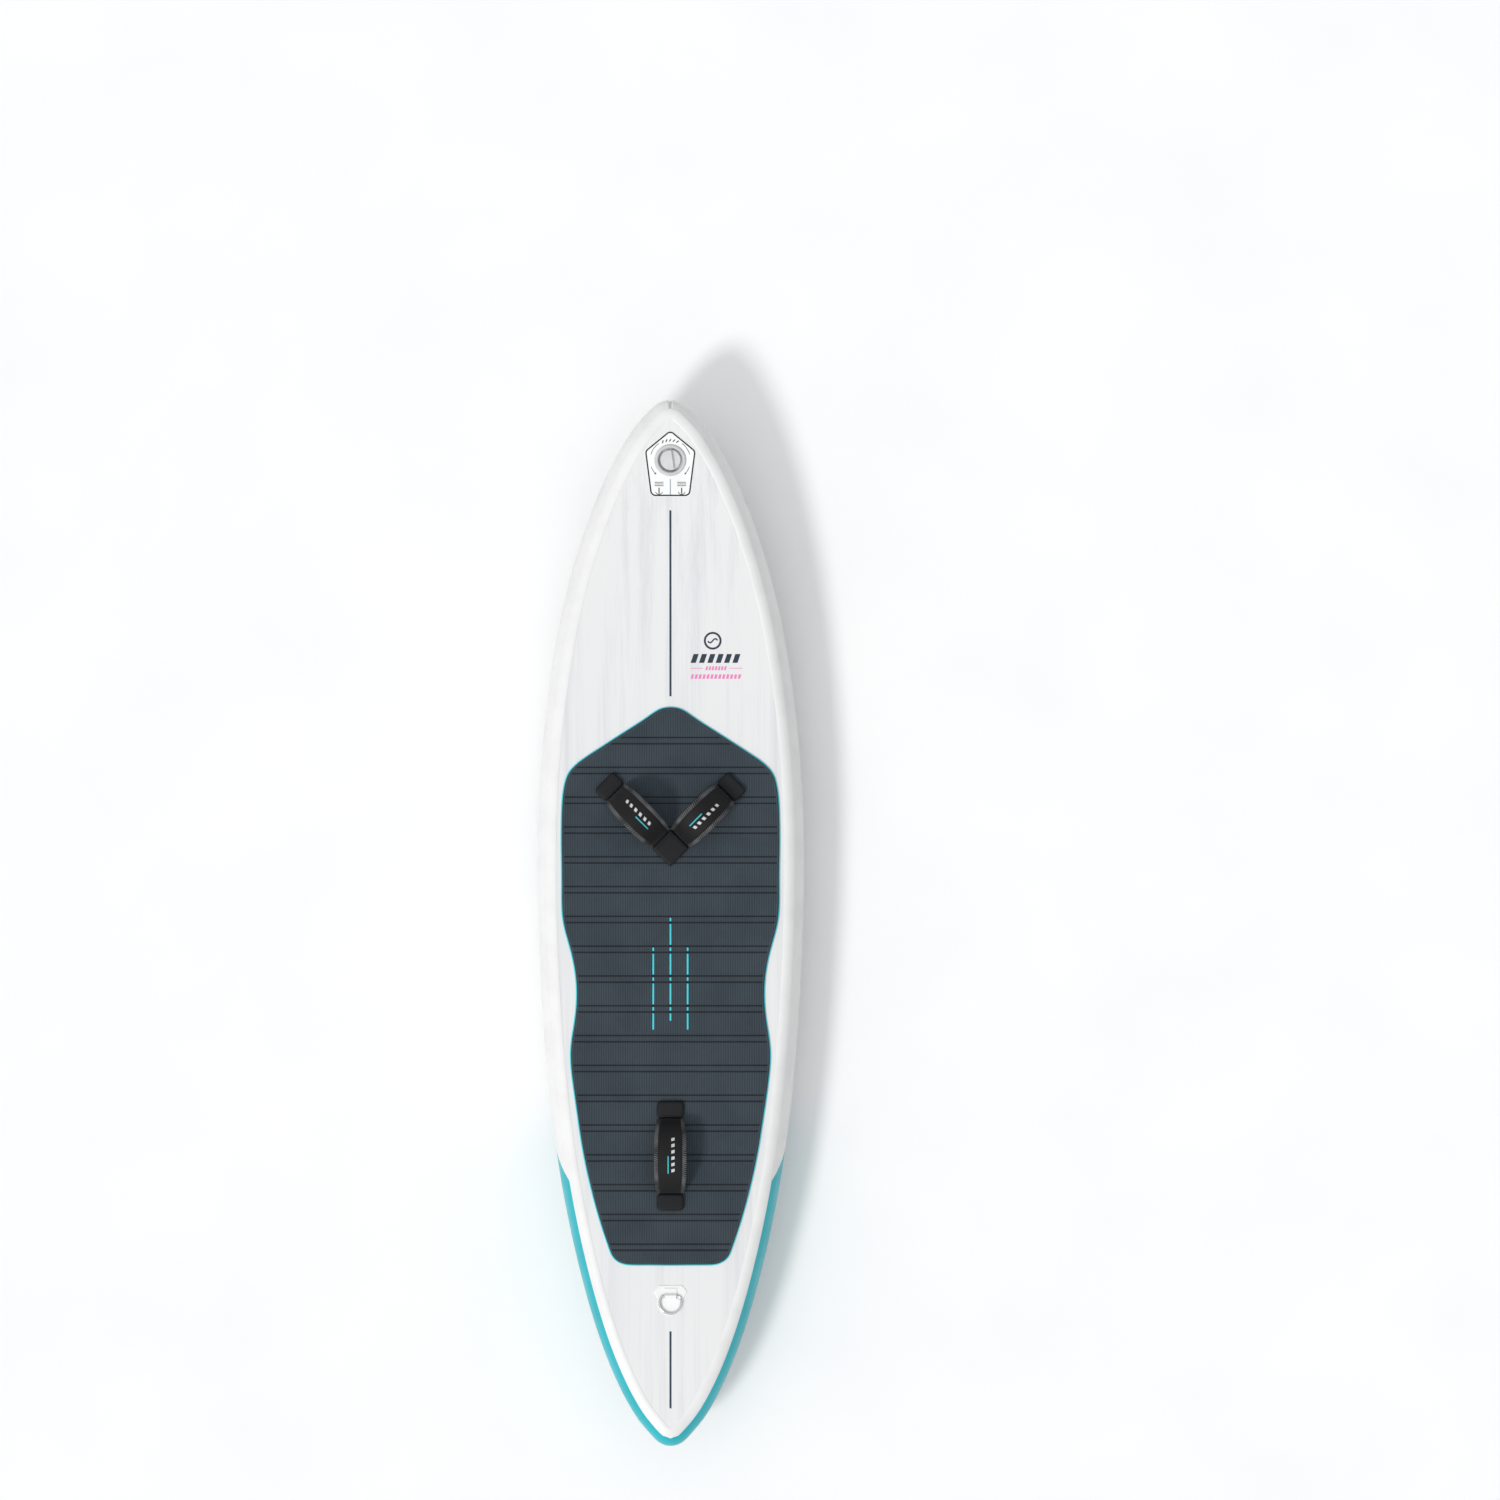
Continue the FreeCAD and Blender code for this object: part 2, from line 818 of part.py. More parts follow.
def make_strap_ends():
    """The plugs bonded to the deck, their inserts, screws and plates, and the tabs over them."""
    deck = mm("deck_height")
    plug_high = mm("plug_height")
    plate_high = mm("anchor_plate_thickness")
    web = mm("webbing_thickness")
    head = mm("screw_head_height")
    lift = 0.15
    plugs, inserts, plates, screws, tails = [], [], [], [], []
    plug = rounded_plate(mm("plug_length"), mm("plug_width"), plug_high, 4)
    plate = rounded_plate(mm("plug_length") - 4, mm("plug_width") - 4, plate_high, 3)
    tail_length, tail_width = mm("plug_length") - 2, mm("webbing_width") - 4
    tail = Part.makeBox(tail_length, tail_width, web, Vector(-tail_length / 2, -tail_width / 2, 0))
    radius = mm("screw_radius")
    insert = Part.makeCylinder(mm("insert_radius"), plug_high - 1)
    insert = insert.cut(Part.makeCylinder(radius + 0.05, plug_high))
    shank_length = plug_high - 1.5 + web + plate_high + 2 * lift
    screw = Part.makeCylinder(radius, shank_length + 0.01)
    cap = Part.makeCylinder(mm("screw_head_radius"), head, Vector(0, 0, shank_length))
    screw = screw.fuse(cap.makeFillet(1.0, [cap.Edges[0]])).removeSplitter()
    spots = [-mm("screw_spacing") / 2, mm("screw_spacing") / 2]
    for spot in spots:
        pocket = Part.makeCylinder(mm("insert_radius") + 0.1, plug_high, Vector(0, spot, 1))
        plug = plug.cut(pocket)
        clearance = Part.makeCylinder(radius + 0.3, 20, Vector(0, spot, -5))
        plate = plate.cut(clearance)
        tail = tail.cut(clearance)
    for x, y, turn in strap_anchors():
        plugs.append(placed(plug, x, y, deck + lift, turn))
        base = deck + lift + plug_high + lift
        shank_foot = base + web + lift + plate_high + 0.1 - shank_length
        tails.append(placed(tail, x, y, base, turn))
        plates.append(placed(plate, x, y, base + web + lift, turn))
        for spot in spots:
            angle = math.radians(turn + 90)
            sx, sy = x + spot * math.cos(angle), y + spot * math.sin(angle)
            inserts.append(placed(insert, sx, sy, deck + lift + 1.1, turn))
            screws.append(placed(screw, sx, sy, shank_foot, turn))
    feature("strap_base_plugs", Part.makeCompound(plugs))
    feature("strap_inserts", Part.makeCompound(inserts))
    feature("strap_webbing_ends", Part.makeCompound(tails))
    feature("strap_anchor_plates", Part.makeCompound(plates))
    feature("strap_screws", Part.makeCompound(screws))

    # the tabs are caps that close over the plate and the screw heads and sit on the pad
    wall = 3.0
    inner = base + web + plate_high + head + 0.6 - pad_surface()
    outer = inner + mm("tab_thickness")

    def tab(length, width, corner):
        shape = rounded_plate(length, width, outer, corner)
        top = [e for e in shape.Edges if all(abs(v.Z - outer) < 1e-6 for v in e.Vertexes)]
        shape = shape.makeFillet(2.0, top)
        hollow = rounded_plate(length - 2 * wall, width - 2 * wall, inner, max(1.0, corner - wall))
        hollow.translate(Vector(0, 0, -0.01))
        return shape.cut(hollow)

    end_tab = tab(mm("tab_length"), mm("strap_end_width"), 8)
    groups = {"front_strap_tabs": [], "rear_strap_tabs": []}
    for name, x, y, turn in tab_centres():
        key = "rear_strap_tabs" if name == "rear" else "front_strap_tabs"
        groups[key].append(placed(end_tab, x, y, pad_surface() + 0.1, turn))
    for key, shapes in groups.items():
        feature(key, Part.makeCompound(shapes))
    block = tab(mm("block_width"), mm("block_width"), 4)
    feature("front_strap_block", placed(block, 0, mm("block_centre"), pad_surface() + 0.1, 45.0))


# ---------------------------------------------------------------- valve


def valve_placement():
    """The valve sits square on the deck, which slopes up towards the nose here."""
    y, step = mm("valve_centre"), 1.0
    slope = (hull_deck(y + step) - hull_deck(y - step)) / (2 * step)
    turn = math.degrees(math.atan(slope))
    return Placement(Vector(0, y, hull_deck(y)), Rotation(Vector(1, 0, 0), turn))


def make_valve_label():
    """A five-sided label on the deck around the valve flange."""
    nose, tail = mm("label_nose_end"), mm("label_tail_end")
    shoulder, foot = 52.6, 40.6
    corners = [(0, nose), (shoulder, 963), (foot, tail), (-foot, tail), (-shoulder, 963)]
    points = [Vector(x, y, 0) for x, y in corners]
    corner_radius = 12.0
    wire = Part.makePolygon(points + points[:1])
    solid = Part.Face(wire).extrude(Vector(0, 0, 1))
    solid = solid.makeFillet(corner_radius, [e for e in solid.Edges if upright(e)])
    bottom = min(solid.Faces, key=lambda face: face.CenterOfMass.z)
    lift = 0.1
    layer = hull_layer(hull_deck, bottom.OuterWire, lift, lift + mm("label_thickness"))
    hole = Part.makeCylinder(mm("valve_flange_radius") + 0.4, 60, Vector(0, 0, -30))
    hole.Placement = valve_placement().multiply(hole.Placement)
    feature("valve_label", layer.cut(hole))


def make_valve():
    place = valve_placement()
    flange, top = size("valve_flange_radius"), size("valve_flange_height")
    tube, recess = size("valve_body_radius"), size("valve_recess_radius")
    floor, bore = size("valve_recess_depth"), size("valve_bore_radius")
    deep, skin = size("valve_body_depth"), size("skin_thickness")
    lift = 0.3
    web = 3.0
    rim = bore - 4.0

    housing = revolved(
        "valve_housing",
        [
            (tube, -deep),
            (tube, lift),
            (flange, lift),
            (flange, top - 2.0),
            (flange - 2.5, top),
            (recess + 2.5, top),
            (recess + 1.0, top - 1.5),
            (recess, -floor),
            (bore, -floor),
            (bore, -deep + web),
            (rim, -deep + web),
            (rim, -deep),
        ],
        place,
    )
    # a cross web under the bore guides the pin and leaves four ways for the air
    guide = new_sketch(housing, "valve_guide_outline", "XY_Plane", -deep)
    hub = 6.0
    arm = 2.0
    inner = rim + 0.5
    corners = []
    hub_corner = math.sqrt(hub * hub - arm * arm)
    for quarter in range(4):
        angle = math.radians(90 * quarter)
        for px, py in ((inner.value, -arm), (inner.value, arm), (hub_corner, arm)):
            cx = px * math.cos(angle) - py * math.sin(angle)
            cy = px * math.sin(angle) + py * math.cos(angle)
            corners.append((cx, cy))
    draw_polygon(guide, corners)
    draw_circle(guide, 0.0, 0.0, size("pin_stem_radius") + 0.3)
    pad_feature(housing, guide, web)

    thread_gap = 0.1
    revolved(
        "valve_gasket",
        [
            (tube + thread_gap * 3, -skin - 0.1),
            (flange, -skin - 0.1),
            (flange, -skin - 1.1),
            (tube + thread_gap * 3, -skin - 1.1),
        ],
        place,
    )
    nut = body("valve_nut", place)
    nut_sketch = new_sketch(nut, "valve_nut_outline", "XY_Plane", -skin - 8.2)
    sides = 12
    nut_radius = flange + 2.0
    ring = []
    for i in range(sides):
        angle = 2 * math.pi * i / sides
        ring.append((nut_radius * math.cos(angle), nut_radius * math.sin(angle)))
    draw_polygon(nut_sketch, ring)
    draw_circle(nut_sketch, 0.0, 0.0, tube + thread_gap)
    pad_feature(nut, nut_sketch, 7.0)

    make_valve_cap(place)
    make_valve_pin(place)
    make_valve_label()


def make_valve_cap(place):
    floor, bore = size("valve_recess_depth"), size("valve_bore_radius")
    cap_radius = size("valve_cap_radius")
    disc_top = -floor + 6.0
    disc_low = -floor + 2.6
    skirt_low = -floor - 6.0
    skirt = bore - 0.4
    groove_depth = 1.4
    cap_turn = 8.0
    cap = revolved(
        "valve_cap",
        [
            (0.0, disc_low),
            (skirt - 2.4, disc_low),
            (skirt - 2.4, skirt_low),
            (skirt, skirt_low),
            (skirt, skirt_low + 1.6),
            (skirt - groove_depth, skirt_low + 1.6),
            (skirt - groove_depth, skirt_low + 3.6),
            (skirt, skirt_low + 3.6),
            (skirt, disc_low),
            (cap_radius, disc_low),
            (cap_radius, disc_top - 1.0),
            (cap_radius - 1.0, disc_top),
            (0.0, disc_top),
        ],
        place.multiply(Placement(Vector(), Rotation(Vector(0, 0, 1), cap_turn))),
    )
    grip = new_sketch(cap, "valve_grip_outline", "XY_Plane", disc_top)
    half_length, half_width = size("grip_length") * 0.5, size("grip_width") * 0.5
    # a bar with pointed ends across the cap
    draw_polygon(
        grip,
        [
            (half_width - 1.5, -half_length),
            (half_width, -half_length + 3.0),
            (half_width, half_length - 3.0),
            (half_width - 1.5, half_length),
            (-half_width + 1.5, half_length),
            (-half_width, half_length - 3.0),
            (-half_width, -half_length + 3.0),
            (-half_width + 1.5, -half_length),
        ],
    )
    pad_feature(cap, grip, 6.0)

    seal_wire = 0.82
    ring_middle = skirt - groove_depth + seal_wire + 0.05
    seal = doc.addObject("Part::Torus", "valve_cap_seal")
    bind(seal, "Radius1", ring_middle)
    seal.Radius2 = seal_wire
    seal.Placement = place.multiply(Placement(Vector(0, 0, (skirt_low + 2.6).value), Rotation()))
    keep(seal, "valve_cap_seal")

    tether = body("valve_cap_tether", place)
    outline = new_sketch(tether, "valve_tether_outline", "XY_Plane", -floor + 0.3)
    draw_circle(outline, 0.0, 0.0, bore + 4.0)
    draw_circle(outline, 0.0, 0.0, bore + 0.4)
    pad_feature(tether, outline, 1.5)
    strip = new_sketch(tether, "valve_tether_strip", "XY_Plane", -floor + 0.3)
    strip_half = 3.5
    reach = size("valve_recess_radius") - 0.5
    draw_polygon(strip, rectangle(-strip_half, bore + 2.0, strip_half, reach))
    pad_feature(tether, strip, 1.5)
    post = new_sketch(tether, "valve_tether_post", "XY_Plane", -floor + 0.3)
    draw_polygon(post, rectangle(-strip_half, cap_radius + 0.4, strip_half, reach))
    pad_feature(tether, post, 7.0)


def make_valve_pin(place):
    deep = size("valve_body_depth")
    stem, head = size("pin_stem_radius"), size("pin_head_radius")
    travel = 5.0
    head_top = -deep + 19.0
    head_low = -deep + 15.5
    revolved(
        "valve_pin",
        [
            (0.0, -deep - 3.2),
            (stem, -deep - 3.2),
            (stem, head_low),
            (head, head_low),
            (head, head_top - 0.8),
            (head - 0.8, head_top),
            (0.0, head_top),
        ],
        place,
    )
    revolved(
        "valve_diaphragm",
        [
            (stem, -deep - 2.6),
            (size("valve_bore_radius") - 1.0, -deep - 2.0),
            (size("valve_bore_radius") - 1.0, -deep - 0.3),
            (stem, -deep - 0.3),
        ],
        place,
    )
    coil_radius = 3.9
    wire_radius = 0.4
    low = -deep.value + 3.0 + wire_radius + 0.2
    high = head_low.value - wire_radius - 0.2
    turns = 5
    helix = Part.makeHelix((high - low) / turns, high - low, coil_radius)
    circle = Part.makeCircle(wire_radius, Vector(coil_radius, 0, 0), Vector(0, 1, 0))
    coil = Part.Wire(helix.Edges).makePipeShell([Part.Wire([circle])], True, True)
    spring = feature("valve_spring", coil)
    spring.Placement = place.multiply(Placement(Vector(0, 0, low), Rotation()))
    if high - low < travel + turns * 2 * wire_radius:
        raise ValueError("the valve spring is too short for the pin's travel")


# ---------------------------------------------------------------- leash point


def make_leash_point():
    deck = mm("deck_height")
    lift = 0.1
    nose, bar = mm("leash_patch_nose_end"), mm("leash_bar")
    half, neck = mm("leash_patch_half_width"), mm("leash_patch_neck_half_width")
    sheet_thickness = mm("leash_patch_thickness")
    wire_r, bow = mm("ring_wire_radius"), mm("ring_bow_radius")
    bow_centre = bar + 13.4
    end_radius = bow + 2 * wire_r
    # tangent from the shoulder to the round end
    wing = Part.makePolygon(
        [
            Vector(-half, -nose - 12, 0),
            Vector(-half + 12, -nose, 0),
            Vector(half - 12, -nose, 0),
            Vector(half, -nose - 12, 0),
            Vector(neck, -bow_centre + 8, 0),
            Vector(-neck, -bow_centre + 8, 0),
            Vector(-half, -nose - 12, 0),
        ]
    )
    wings = prism(wing, 0, sheet_thickness)
    rounded = [e for e in wings.Edges if upright(e) and e.Vertexes[0].Y > -nose - 13]
    wings = wings.makeFillet(6.0, rounded)
    end = Part.makeCylinder(end_radius, sheet_thickness, Vector(0, -bow_centre, 0))
    patch = wings.fuse(end).removeSplitter()
    patch.translate(Vector(0, 0, deck + lift))
    feature("leash_patch_base", patch)

    # the ring: a straight bar in the tunnel of the cover, and a round bow towards the tail
    height = deck + lift + sheet_thickness + wire_r + 0.35
    corner = 6.0
    path = ring_path(bow_centre - bar, bow, corner)
    start = path.Edges[0].Vertexes[0].Point
    direction = path.Edges[0].tangentAt(path.Edges[0].FirstParameter)
    section = Part.Wire([Part.makeCircle(wire_r, start, direction)])
    ring = path.makePipeShell([section], True, True)
    ring.translate(Vector(0, -bar, height))
    feature("leash_ring", ring)

    # the cover lies on the base, rises over the bar and closes down behind it
    play = 0.35
    tunnel = wire_r + play
    cover_half = 11.8
    outer = tunnel + sheet_thickness
    flap_low = deck + lift + sheet_thickness + 0.05
    side_edge = Vector(-cover_half, -bar, height)
    barrel = Part.makeCylinder(outer, 2 * cover_half, side_edge, Vector(1, 0, 0))
    flap = Part.makeBox(2 * cover_half, bar - nose - 6, sheet_thickness)
    flap.translate(Vector(-cover_half, -bar, flap_low))
    shape = barrel.fuse(flap)
    below = Part.makeBox(200, 200, 50, Vector(-100, -bar - 100, flap_low - 50))
    hollow = Part.makeCylinder(tunnel, 100, Vector(-50, -bar, height), Vector(1, 0, 0))
    shape = shape.cut(below).cut(hollow).removeSplitter()
    feature("leash_patch_cover", shape.Solids[0] if len(shape.Solids) == 1 else shape)


def ring_path(drop, bow, corner):
    """The middle line of the ring in its own plane: bar along X at Y 0, bow towards -Y.

    Each corner is an arc that leaves the bar square and runs into the bow from inside."""
    across_corners = math.sqrt((bow - corner) ** 2 - (drop - corner) ** 2)
    rise = math.atan2(drop - corner, across_corners)
    middle = (math.pi / 2 + rise) / 2
    centre = Vector(0, -drop, 0)
    edges = [Part.makeLine(Vector(-across_corners, 0, 0), Vector(across_corners, 0, 0))]
    meets = []
    for hand in (1, -1):
        pivot = Vector(hand * across_corners, -corner, 0)
        halfway = Vector(hand * math.cos(middle), math.sin(middle), 0) * corner
        meet = centre + Vector(hand * math.cos(rise), math.sin(rise), 0) * bow
        edges.append(Part.Arc(pivot + Vector(0, corner, 0), pivot + halfway, meet).toShape())
        meets.append(meet)
    edges.append(Part.Arc(meets[0], centre + Vector(0, -bow, 0), meets[1]).toShape())
    return Part.Wire(Part.__sortEdges__(edges))


# ---------------------------------------------------------------- foil fairing and plate

FAIRING_OUTLINE = [
    (0, mm("fairing_nose_end")),
    (44, 289),
    (109, 234),
    (150, 178),
    (175, 116),
    (187, 50),
    (mm("fairing_half_width"), -40),
    (mm("fairing_half_width"), -200),
    (187, -318),
    (181, -411),
    (170, -474),
    (152, -523),
    (130, -573),
    (97, -617),
    (56, -652),
    (0, -mm("fairing_tail_end")),
]


def contour_wire(inset, z):
    wire = both_halves(half_spline(inset_points(FAIRING_OUTLINE, inset)))
    wire.translate(Vector(0, 0, z))
    return wire


def plate_outline(grow):
    """Pointed at the nose, parallel sides, round corners at the tail."""
    half = mm("plate_half_width") + grow
    tip, end = mm("plate_nose_end") + 2 * grow, -mm("plate_tail_end") - grow
    corner = mm("plate_corner_radius") + grow
    nose = [(23, 147), (38, 96), (51, 24), (60, -38), (68, -104), (73, -190)]
    points = [Vector(0, tip, 0)] + [Vector(x + grow, y, 0) for x, y in nose]
    points.append(Vector(half, -260, 0))
    side = spline(points)
    middle = corner * (1 - math.cos(math.pi / 4))
    edges = []
    for hand in (1, -1):
        turn = Part.Arc(
            Vector(hand * half, end + corner, 0),
            Vector(hand * (half - middle), end + middle, 0),
            Vector(hand * (half - corner), end, 0),
        )
        edges.append((side if hand == 1 else mirrored(side)).toShape())
        edges.append(Part.makeLine(Vector(hand * half, points[-1].y, 0), turn.StartPoint))
        edges.append(turn.toShape())
    edges.append(Part.makeLine(Vector(half - corner, end, 0), Vector(corner - half, end, 0)))
    return Part.Wire(Part.__sortEdges__(edges))


def slot_prism(x, y0, y1, width, z0, z1):
    """A straight slot along Y."""
    return Part.makeBox(width, y1 - y0, z1 - z0, Vector(x - width / 2, y0, z0))


def track_mouths(x, width, z0, z1):
    """The two wide places of a track's slot, where a sliding nut drops in."""
    length = mm("track_mouth_length")
    cuts = []
    for start in (mm("track_nose_end"), mm("track_second_mouth")):
        cuts.append(slot_prism(x, -start - length, -start, width, z0, z1))
    return cuts


def make_foil_base():
    clear = mm("seam_gap")
    base_top = mm("hull_base") - clear
    base_low = base_top - mm("base_sheet_thickness")
    feature("fairing_base_sheet", prism(contour_wire(0.0, 0.0), base_low, base_top))

    shell_top = base_low - clear
    face = mm("fairing_face")
    wall = 2.6
    deep = mm("plate_thickness") + 2.2
    # how far inside the base sheet's outline the shell is, at each height
    outer_steps = [(28, shell_top), (33, 25), (46, 13), (64, face)]
    inner_steps = [(28, shell_top + 0.1), (33, 27), (46, 17), (64, face + deep)]
    outer = Part.makeLoft([contour_wire(inset, z) for inset, z in outer_steps], True)
    hollow = Part.makeLoft([contour_wire(inset + wall, z) for inset, z in inner_steps], True)
    plate_wire = plate_outline(0)
    seat_top = mm("plate_thickness") + clear
    seat = prism(plate_outline(0.5), -5, seat_top)
    half = mm("track_spacing") / 2
    track_half = mm("track_cavity_width") / 2 + mm("track_wall")
    # the shell is open behind the plate, inside a lip that the plate is bonded to
    lip_width = 8.0
    window = prism(plate_outline(-lip_width), -5, 60)
    cuts = [seat, window]
    margin = 0.4
    for side in (-1, 1):
        start = -mm("track_tail_end") - 6 - margin
        end = -mm("track_nose_end") + 4 + margin
        cuts.append(slot_prism(side * half, start, end, 2 * (track_half + margin), -5, 40))
    cuts.append(handle_outer(margin, -5, 60, True))
    shell = outer.cut(hollow).cut(cuts)
    feature("fairing_shell", shell.Solids[0] if len(shell.Solids) == 1 else shell)

    plate = prism(plate_wire, 0, mm("plate_thickness"))
    cuts = [handle_outer(clear, -5, 20, False)]
    for side in (-1, 1):
        start, end = -mm("track_tail_end"), -mm("track_nose_end")
        cuts.append(slot_prism(side * half, start, end, mm("track_slot_width"), -5, 20))
        cuts += track_mouths(side * half, mm("track_mouth_width"), -5, 20)
    feature("foil_plate", plate.cut(cuts))
    make_handle()
    make_tracks()


def handle_outer(grow, z0, z1, with_pocket):
    """The block that the handle cup fills, grown by a clearance."""
    half = mm("handle_width") / 2 + mm("handle_wall") + grow
    y1 = -mm("handle_nose_end") + mm("handle_wall") + grow
    y0 = -mm("handle_tail_end") - mm("handle_wall") - grow
    block = Part.makeBox(2 * half, y1 - y0, z1 - z0, Vector(-half, y0, z0))
    block = block.makeFillet(half - 4, [e for e in block.Edges if upright(e)])
    if with_pocket:
        low = mm("plate_thickness") + 0.3
        more = Part.makeBox(
            2 * half, mm("finger_pocket") + 20, z1 - low, Vector(-half, y1 - 20, low)
        )
        more = more.makeFillet(6, [e for e in more.Edges if upright(e) and e.Vertexes[0].Y > y1])
        block = block.fuse(more)
    return block


def make_handle():
    """A cup behind the plate's grip opening, with a pocket for the fingers towards the nose."""
    wall = mm("handle_wall")
    top = mm("handle_height")
    low = 0.4
    outer = handle_outer(0.0, low, top, True)
    half = mm("handle_width") / 2
    y1, y0 = -mm("handle_nose_end"), -mm("handle_tail_end")
    inner = Part.makeBox(2 * half, y1 - y0, top + 5 - wall, Vector(-half, y0, -5))
    inner = inner.makeFillet(half - 3, [e for e in inner.Edges if upright(e)])
    lip = mm("plate_thickness") + 0.3 + wall
    pocket = Part.makeBox(
        2 * half, mm("finger_pocket") + 18, top - wall - lip, Vector(-half, y1 - 18, lip)
    )
    pocket = pocket.makeFillet(4, [e for e in pocket.Edges if upright(e) and e.Vertexes[0].Y > y1])
    cup = outer.cut(inner).cut(pocket).removeSplitter()
    feature("handle_cup", cup.Solids[0])


def make_tracks():
    """Straight channels behind the plate that hold the sliding nuts of a foil mast."""
    base = mm("plate_thickness") + mm("seam_gap")
    lip, tall, wall = size("track_lip"), size("track_cavity_height"), size("track_wall")
    slot = size("track_slot_width") * 0.5
    cavity = size("track_cavity_width") * 0.5
    outer = cavity + wall
    start = size("track_nose_end") - 4.0
    run = size("track_tail_end") + 6.0 - start
    for side, name in ((-1, "port"), (1, "starboard")):
        place = Placement(Vector(side * mm("track_spacing") / 2, 0, base), Rotation())
        track = body("foil_track_" + name, place)
        sketch = new_sketch(track, "track_section_" + name, "XZ_Plane", start)
        draw_polygon(
            sketch,
            [
                (outer, 0.0),
                (outer, lip + tall + wall),
                (-outer, lip + tall + wall),
                (-outer, 0.0),
                (-slot, 0.0),
                (-slot, lip),
                (-cavity, lip),
                (-cavity, lip + tall),
                (cavity, lip + tall),
                (cavity, lip),
                (slot, lip),
                (slot, 0.0),
            ],
        )
        pad_feature(track, sketch, run)
        for index, alias in enumerate(("track_nose_end", "track_second_mouth")):
            mouth = new_sketch(track, "track_mouth_%s_%d" % (name, index), "XY_Plane")
            half_mouth = size("track_mouth_width") * 0.5
            near = -size(alias)
            far = near - size("track_mouth_length")
            draw_polygon(mouth, rectangle(-half_mouth, far, half_mouth, near))
            pocket_feature(track, mouth, lip + 0.1, reverse=True)
    plugs = []
    play = 0.1
    plug_length = 3.6
    width = mm("track_cavity_width") - 2 * play
    low = base + mm("track_lip") + play
    high = low + mm("track_cavity_height") - 2 * play
    for side in (-1, 1):
        x = side * mm("track_spacing") / 2
        for y in (-mm("track_nose_end") + 0.2, -mm("track_tail_end") - 5.8):
            plugs.append(slot_prism(x, y, y + plug_length, width, low, high))
    feature("track_end_plugs", Part.makeCompound(plugs))


# ---------------------------------------------------------------- build, check and write

make_hull()
make_pad()
make_straps()
make_valve()
make_leash_point()
make_foil_base()
doc.recompute()

for obj in doc.Objects:
    if any(word in state for state in obj.State for word in ("Invalid", "Error")):
        raise ValueError("%s did not build: %s" % (obj.Label, obj.State))
for obj in nodes:
    if obj.Shape.isNull() or not obj.Shape.isValid() or not obj.Shape.Solids:
        raise ValueError("%s has no valid solid" % obj.Label)

os.makedirs("parts", exist_ok=True)
for obj in nodes:
    obj.Shape.exportStep("parts/" + obj.Label + ".step")
    print(obj.Label, len(obj.Shape.Solids), round(obj.Shape.Volume / 1000, 1), "cm3")
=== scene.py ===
import json
import math

import bmesh
import bpy
import numpy as np
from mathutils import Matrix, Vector
from mathutils.bvhtree import BVHTree


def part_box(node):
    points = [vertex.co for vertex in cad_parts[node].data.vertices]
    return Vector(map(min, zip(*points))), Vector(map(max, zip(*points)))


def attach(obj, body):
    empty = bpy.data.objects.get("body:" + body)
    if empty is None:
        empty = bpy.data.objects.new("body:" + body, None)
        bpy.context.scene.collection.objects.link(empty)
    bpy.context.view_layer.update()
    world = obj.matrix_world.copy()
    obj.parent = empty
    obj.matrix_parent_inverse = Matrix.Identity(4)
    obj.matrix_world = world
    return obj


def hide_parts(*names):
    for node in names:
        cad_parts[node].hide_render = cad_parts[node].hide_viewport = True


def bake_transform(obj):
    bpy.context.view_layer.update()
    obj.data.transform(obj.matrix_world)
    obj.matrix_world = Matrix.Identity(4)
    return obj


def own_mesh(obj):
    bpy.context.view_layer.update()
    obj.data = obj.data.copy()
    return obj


# The looks of the inflatable board, in metres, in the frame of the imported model:
# +Z up, +Y towards the nose, +X towards starboard.

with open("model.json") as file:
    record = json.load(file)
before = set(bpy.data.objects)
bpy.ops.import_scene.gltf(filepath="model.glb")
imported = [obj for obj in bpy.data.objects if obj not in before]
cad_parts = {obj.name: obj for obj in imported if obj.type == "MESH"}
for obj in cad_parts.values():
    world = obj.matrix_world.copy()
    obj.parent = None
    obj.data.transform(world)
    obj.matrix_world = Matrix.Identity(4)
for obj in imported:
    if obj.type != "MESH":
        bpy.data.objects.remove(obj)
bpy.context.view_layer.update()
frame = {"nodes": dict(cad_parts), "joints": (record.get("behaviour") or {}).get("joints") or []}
MM = 0.001


# ---------------------------------------------------------------- what the frame says


def rims(node):
    """The loops of edges that bound a CAD node's faces, each as an ordered array of points."""
    mesh = frame["nodes"][node].data
    edges = set()
    for face in mesh.polygons:
        corners = list(face.vertices)
        edges.update(zip(corners, corners[1:] + corners[:1]))
    following = {a: b for a, b in sorted(edges) if (b, a) not in edges}
    loops = []
    while following:
        start, place = following.popitem()
        loop = [start]
        while place != start and place in following:
            loop.append(place)
            place = following.pop(place)
        loops.append(np.array([mesh.vertices[i].co[:] for i in loop]))
    return loops


def outer_rim(node, upper=True):
    """The rim round a node's upper or lower face, which goes round both sides of the centreline."""
    around = [loop for loop in rims(node) if loop[:, 0].min() < -5 * MM and loop[:, 0].max() > 5 * MM]
    longest = max(np.ptp(loop[:, 1]) for loop in around)
    around = [loop for loop in around if np.ptp(loop[:, 1]) > 0.97 * longest]
    around.sort(key=lambda loop: loop[:, 2].mean())
    return around[-1 if upper else 0]


def surface_of(node, side=1):
    """A function that gives the height of a CAD node's upper (1) or lower (-1) face at each place."""
    mesh = frame["nodes"][node].data
    tree = BVHTree.FromPolygons(
        [vertex.co for vertex in mesh.vertices], [tuple(face.vertices) for face in mesh.polygons]
    )

    def height(places):
        down = Vector((0, 0, -side))
        return np.array([tree.ray_cast(Vector((x, y, side)), down)[0].z for x, y in places])

    return height


def points_of(mesh):
    return np.array([vertex.co[:] for vertex in mesh.vertices])


def node_points(node):
    return points_of(frame["nodes"][node].data)


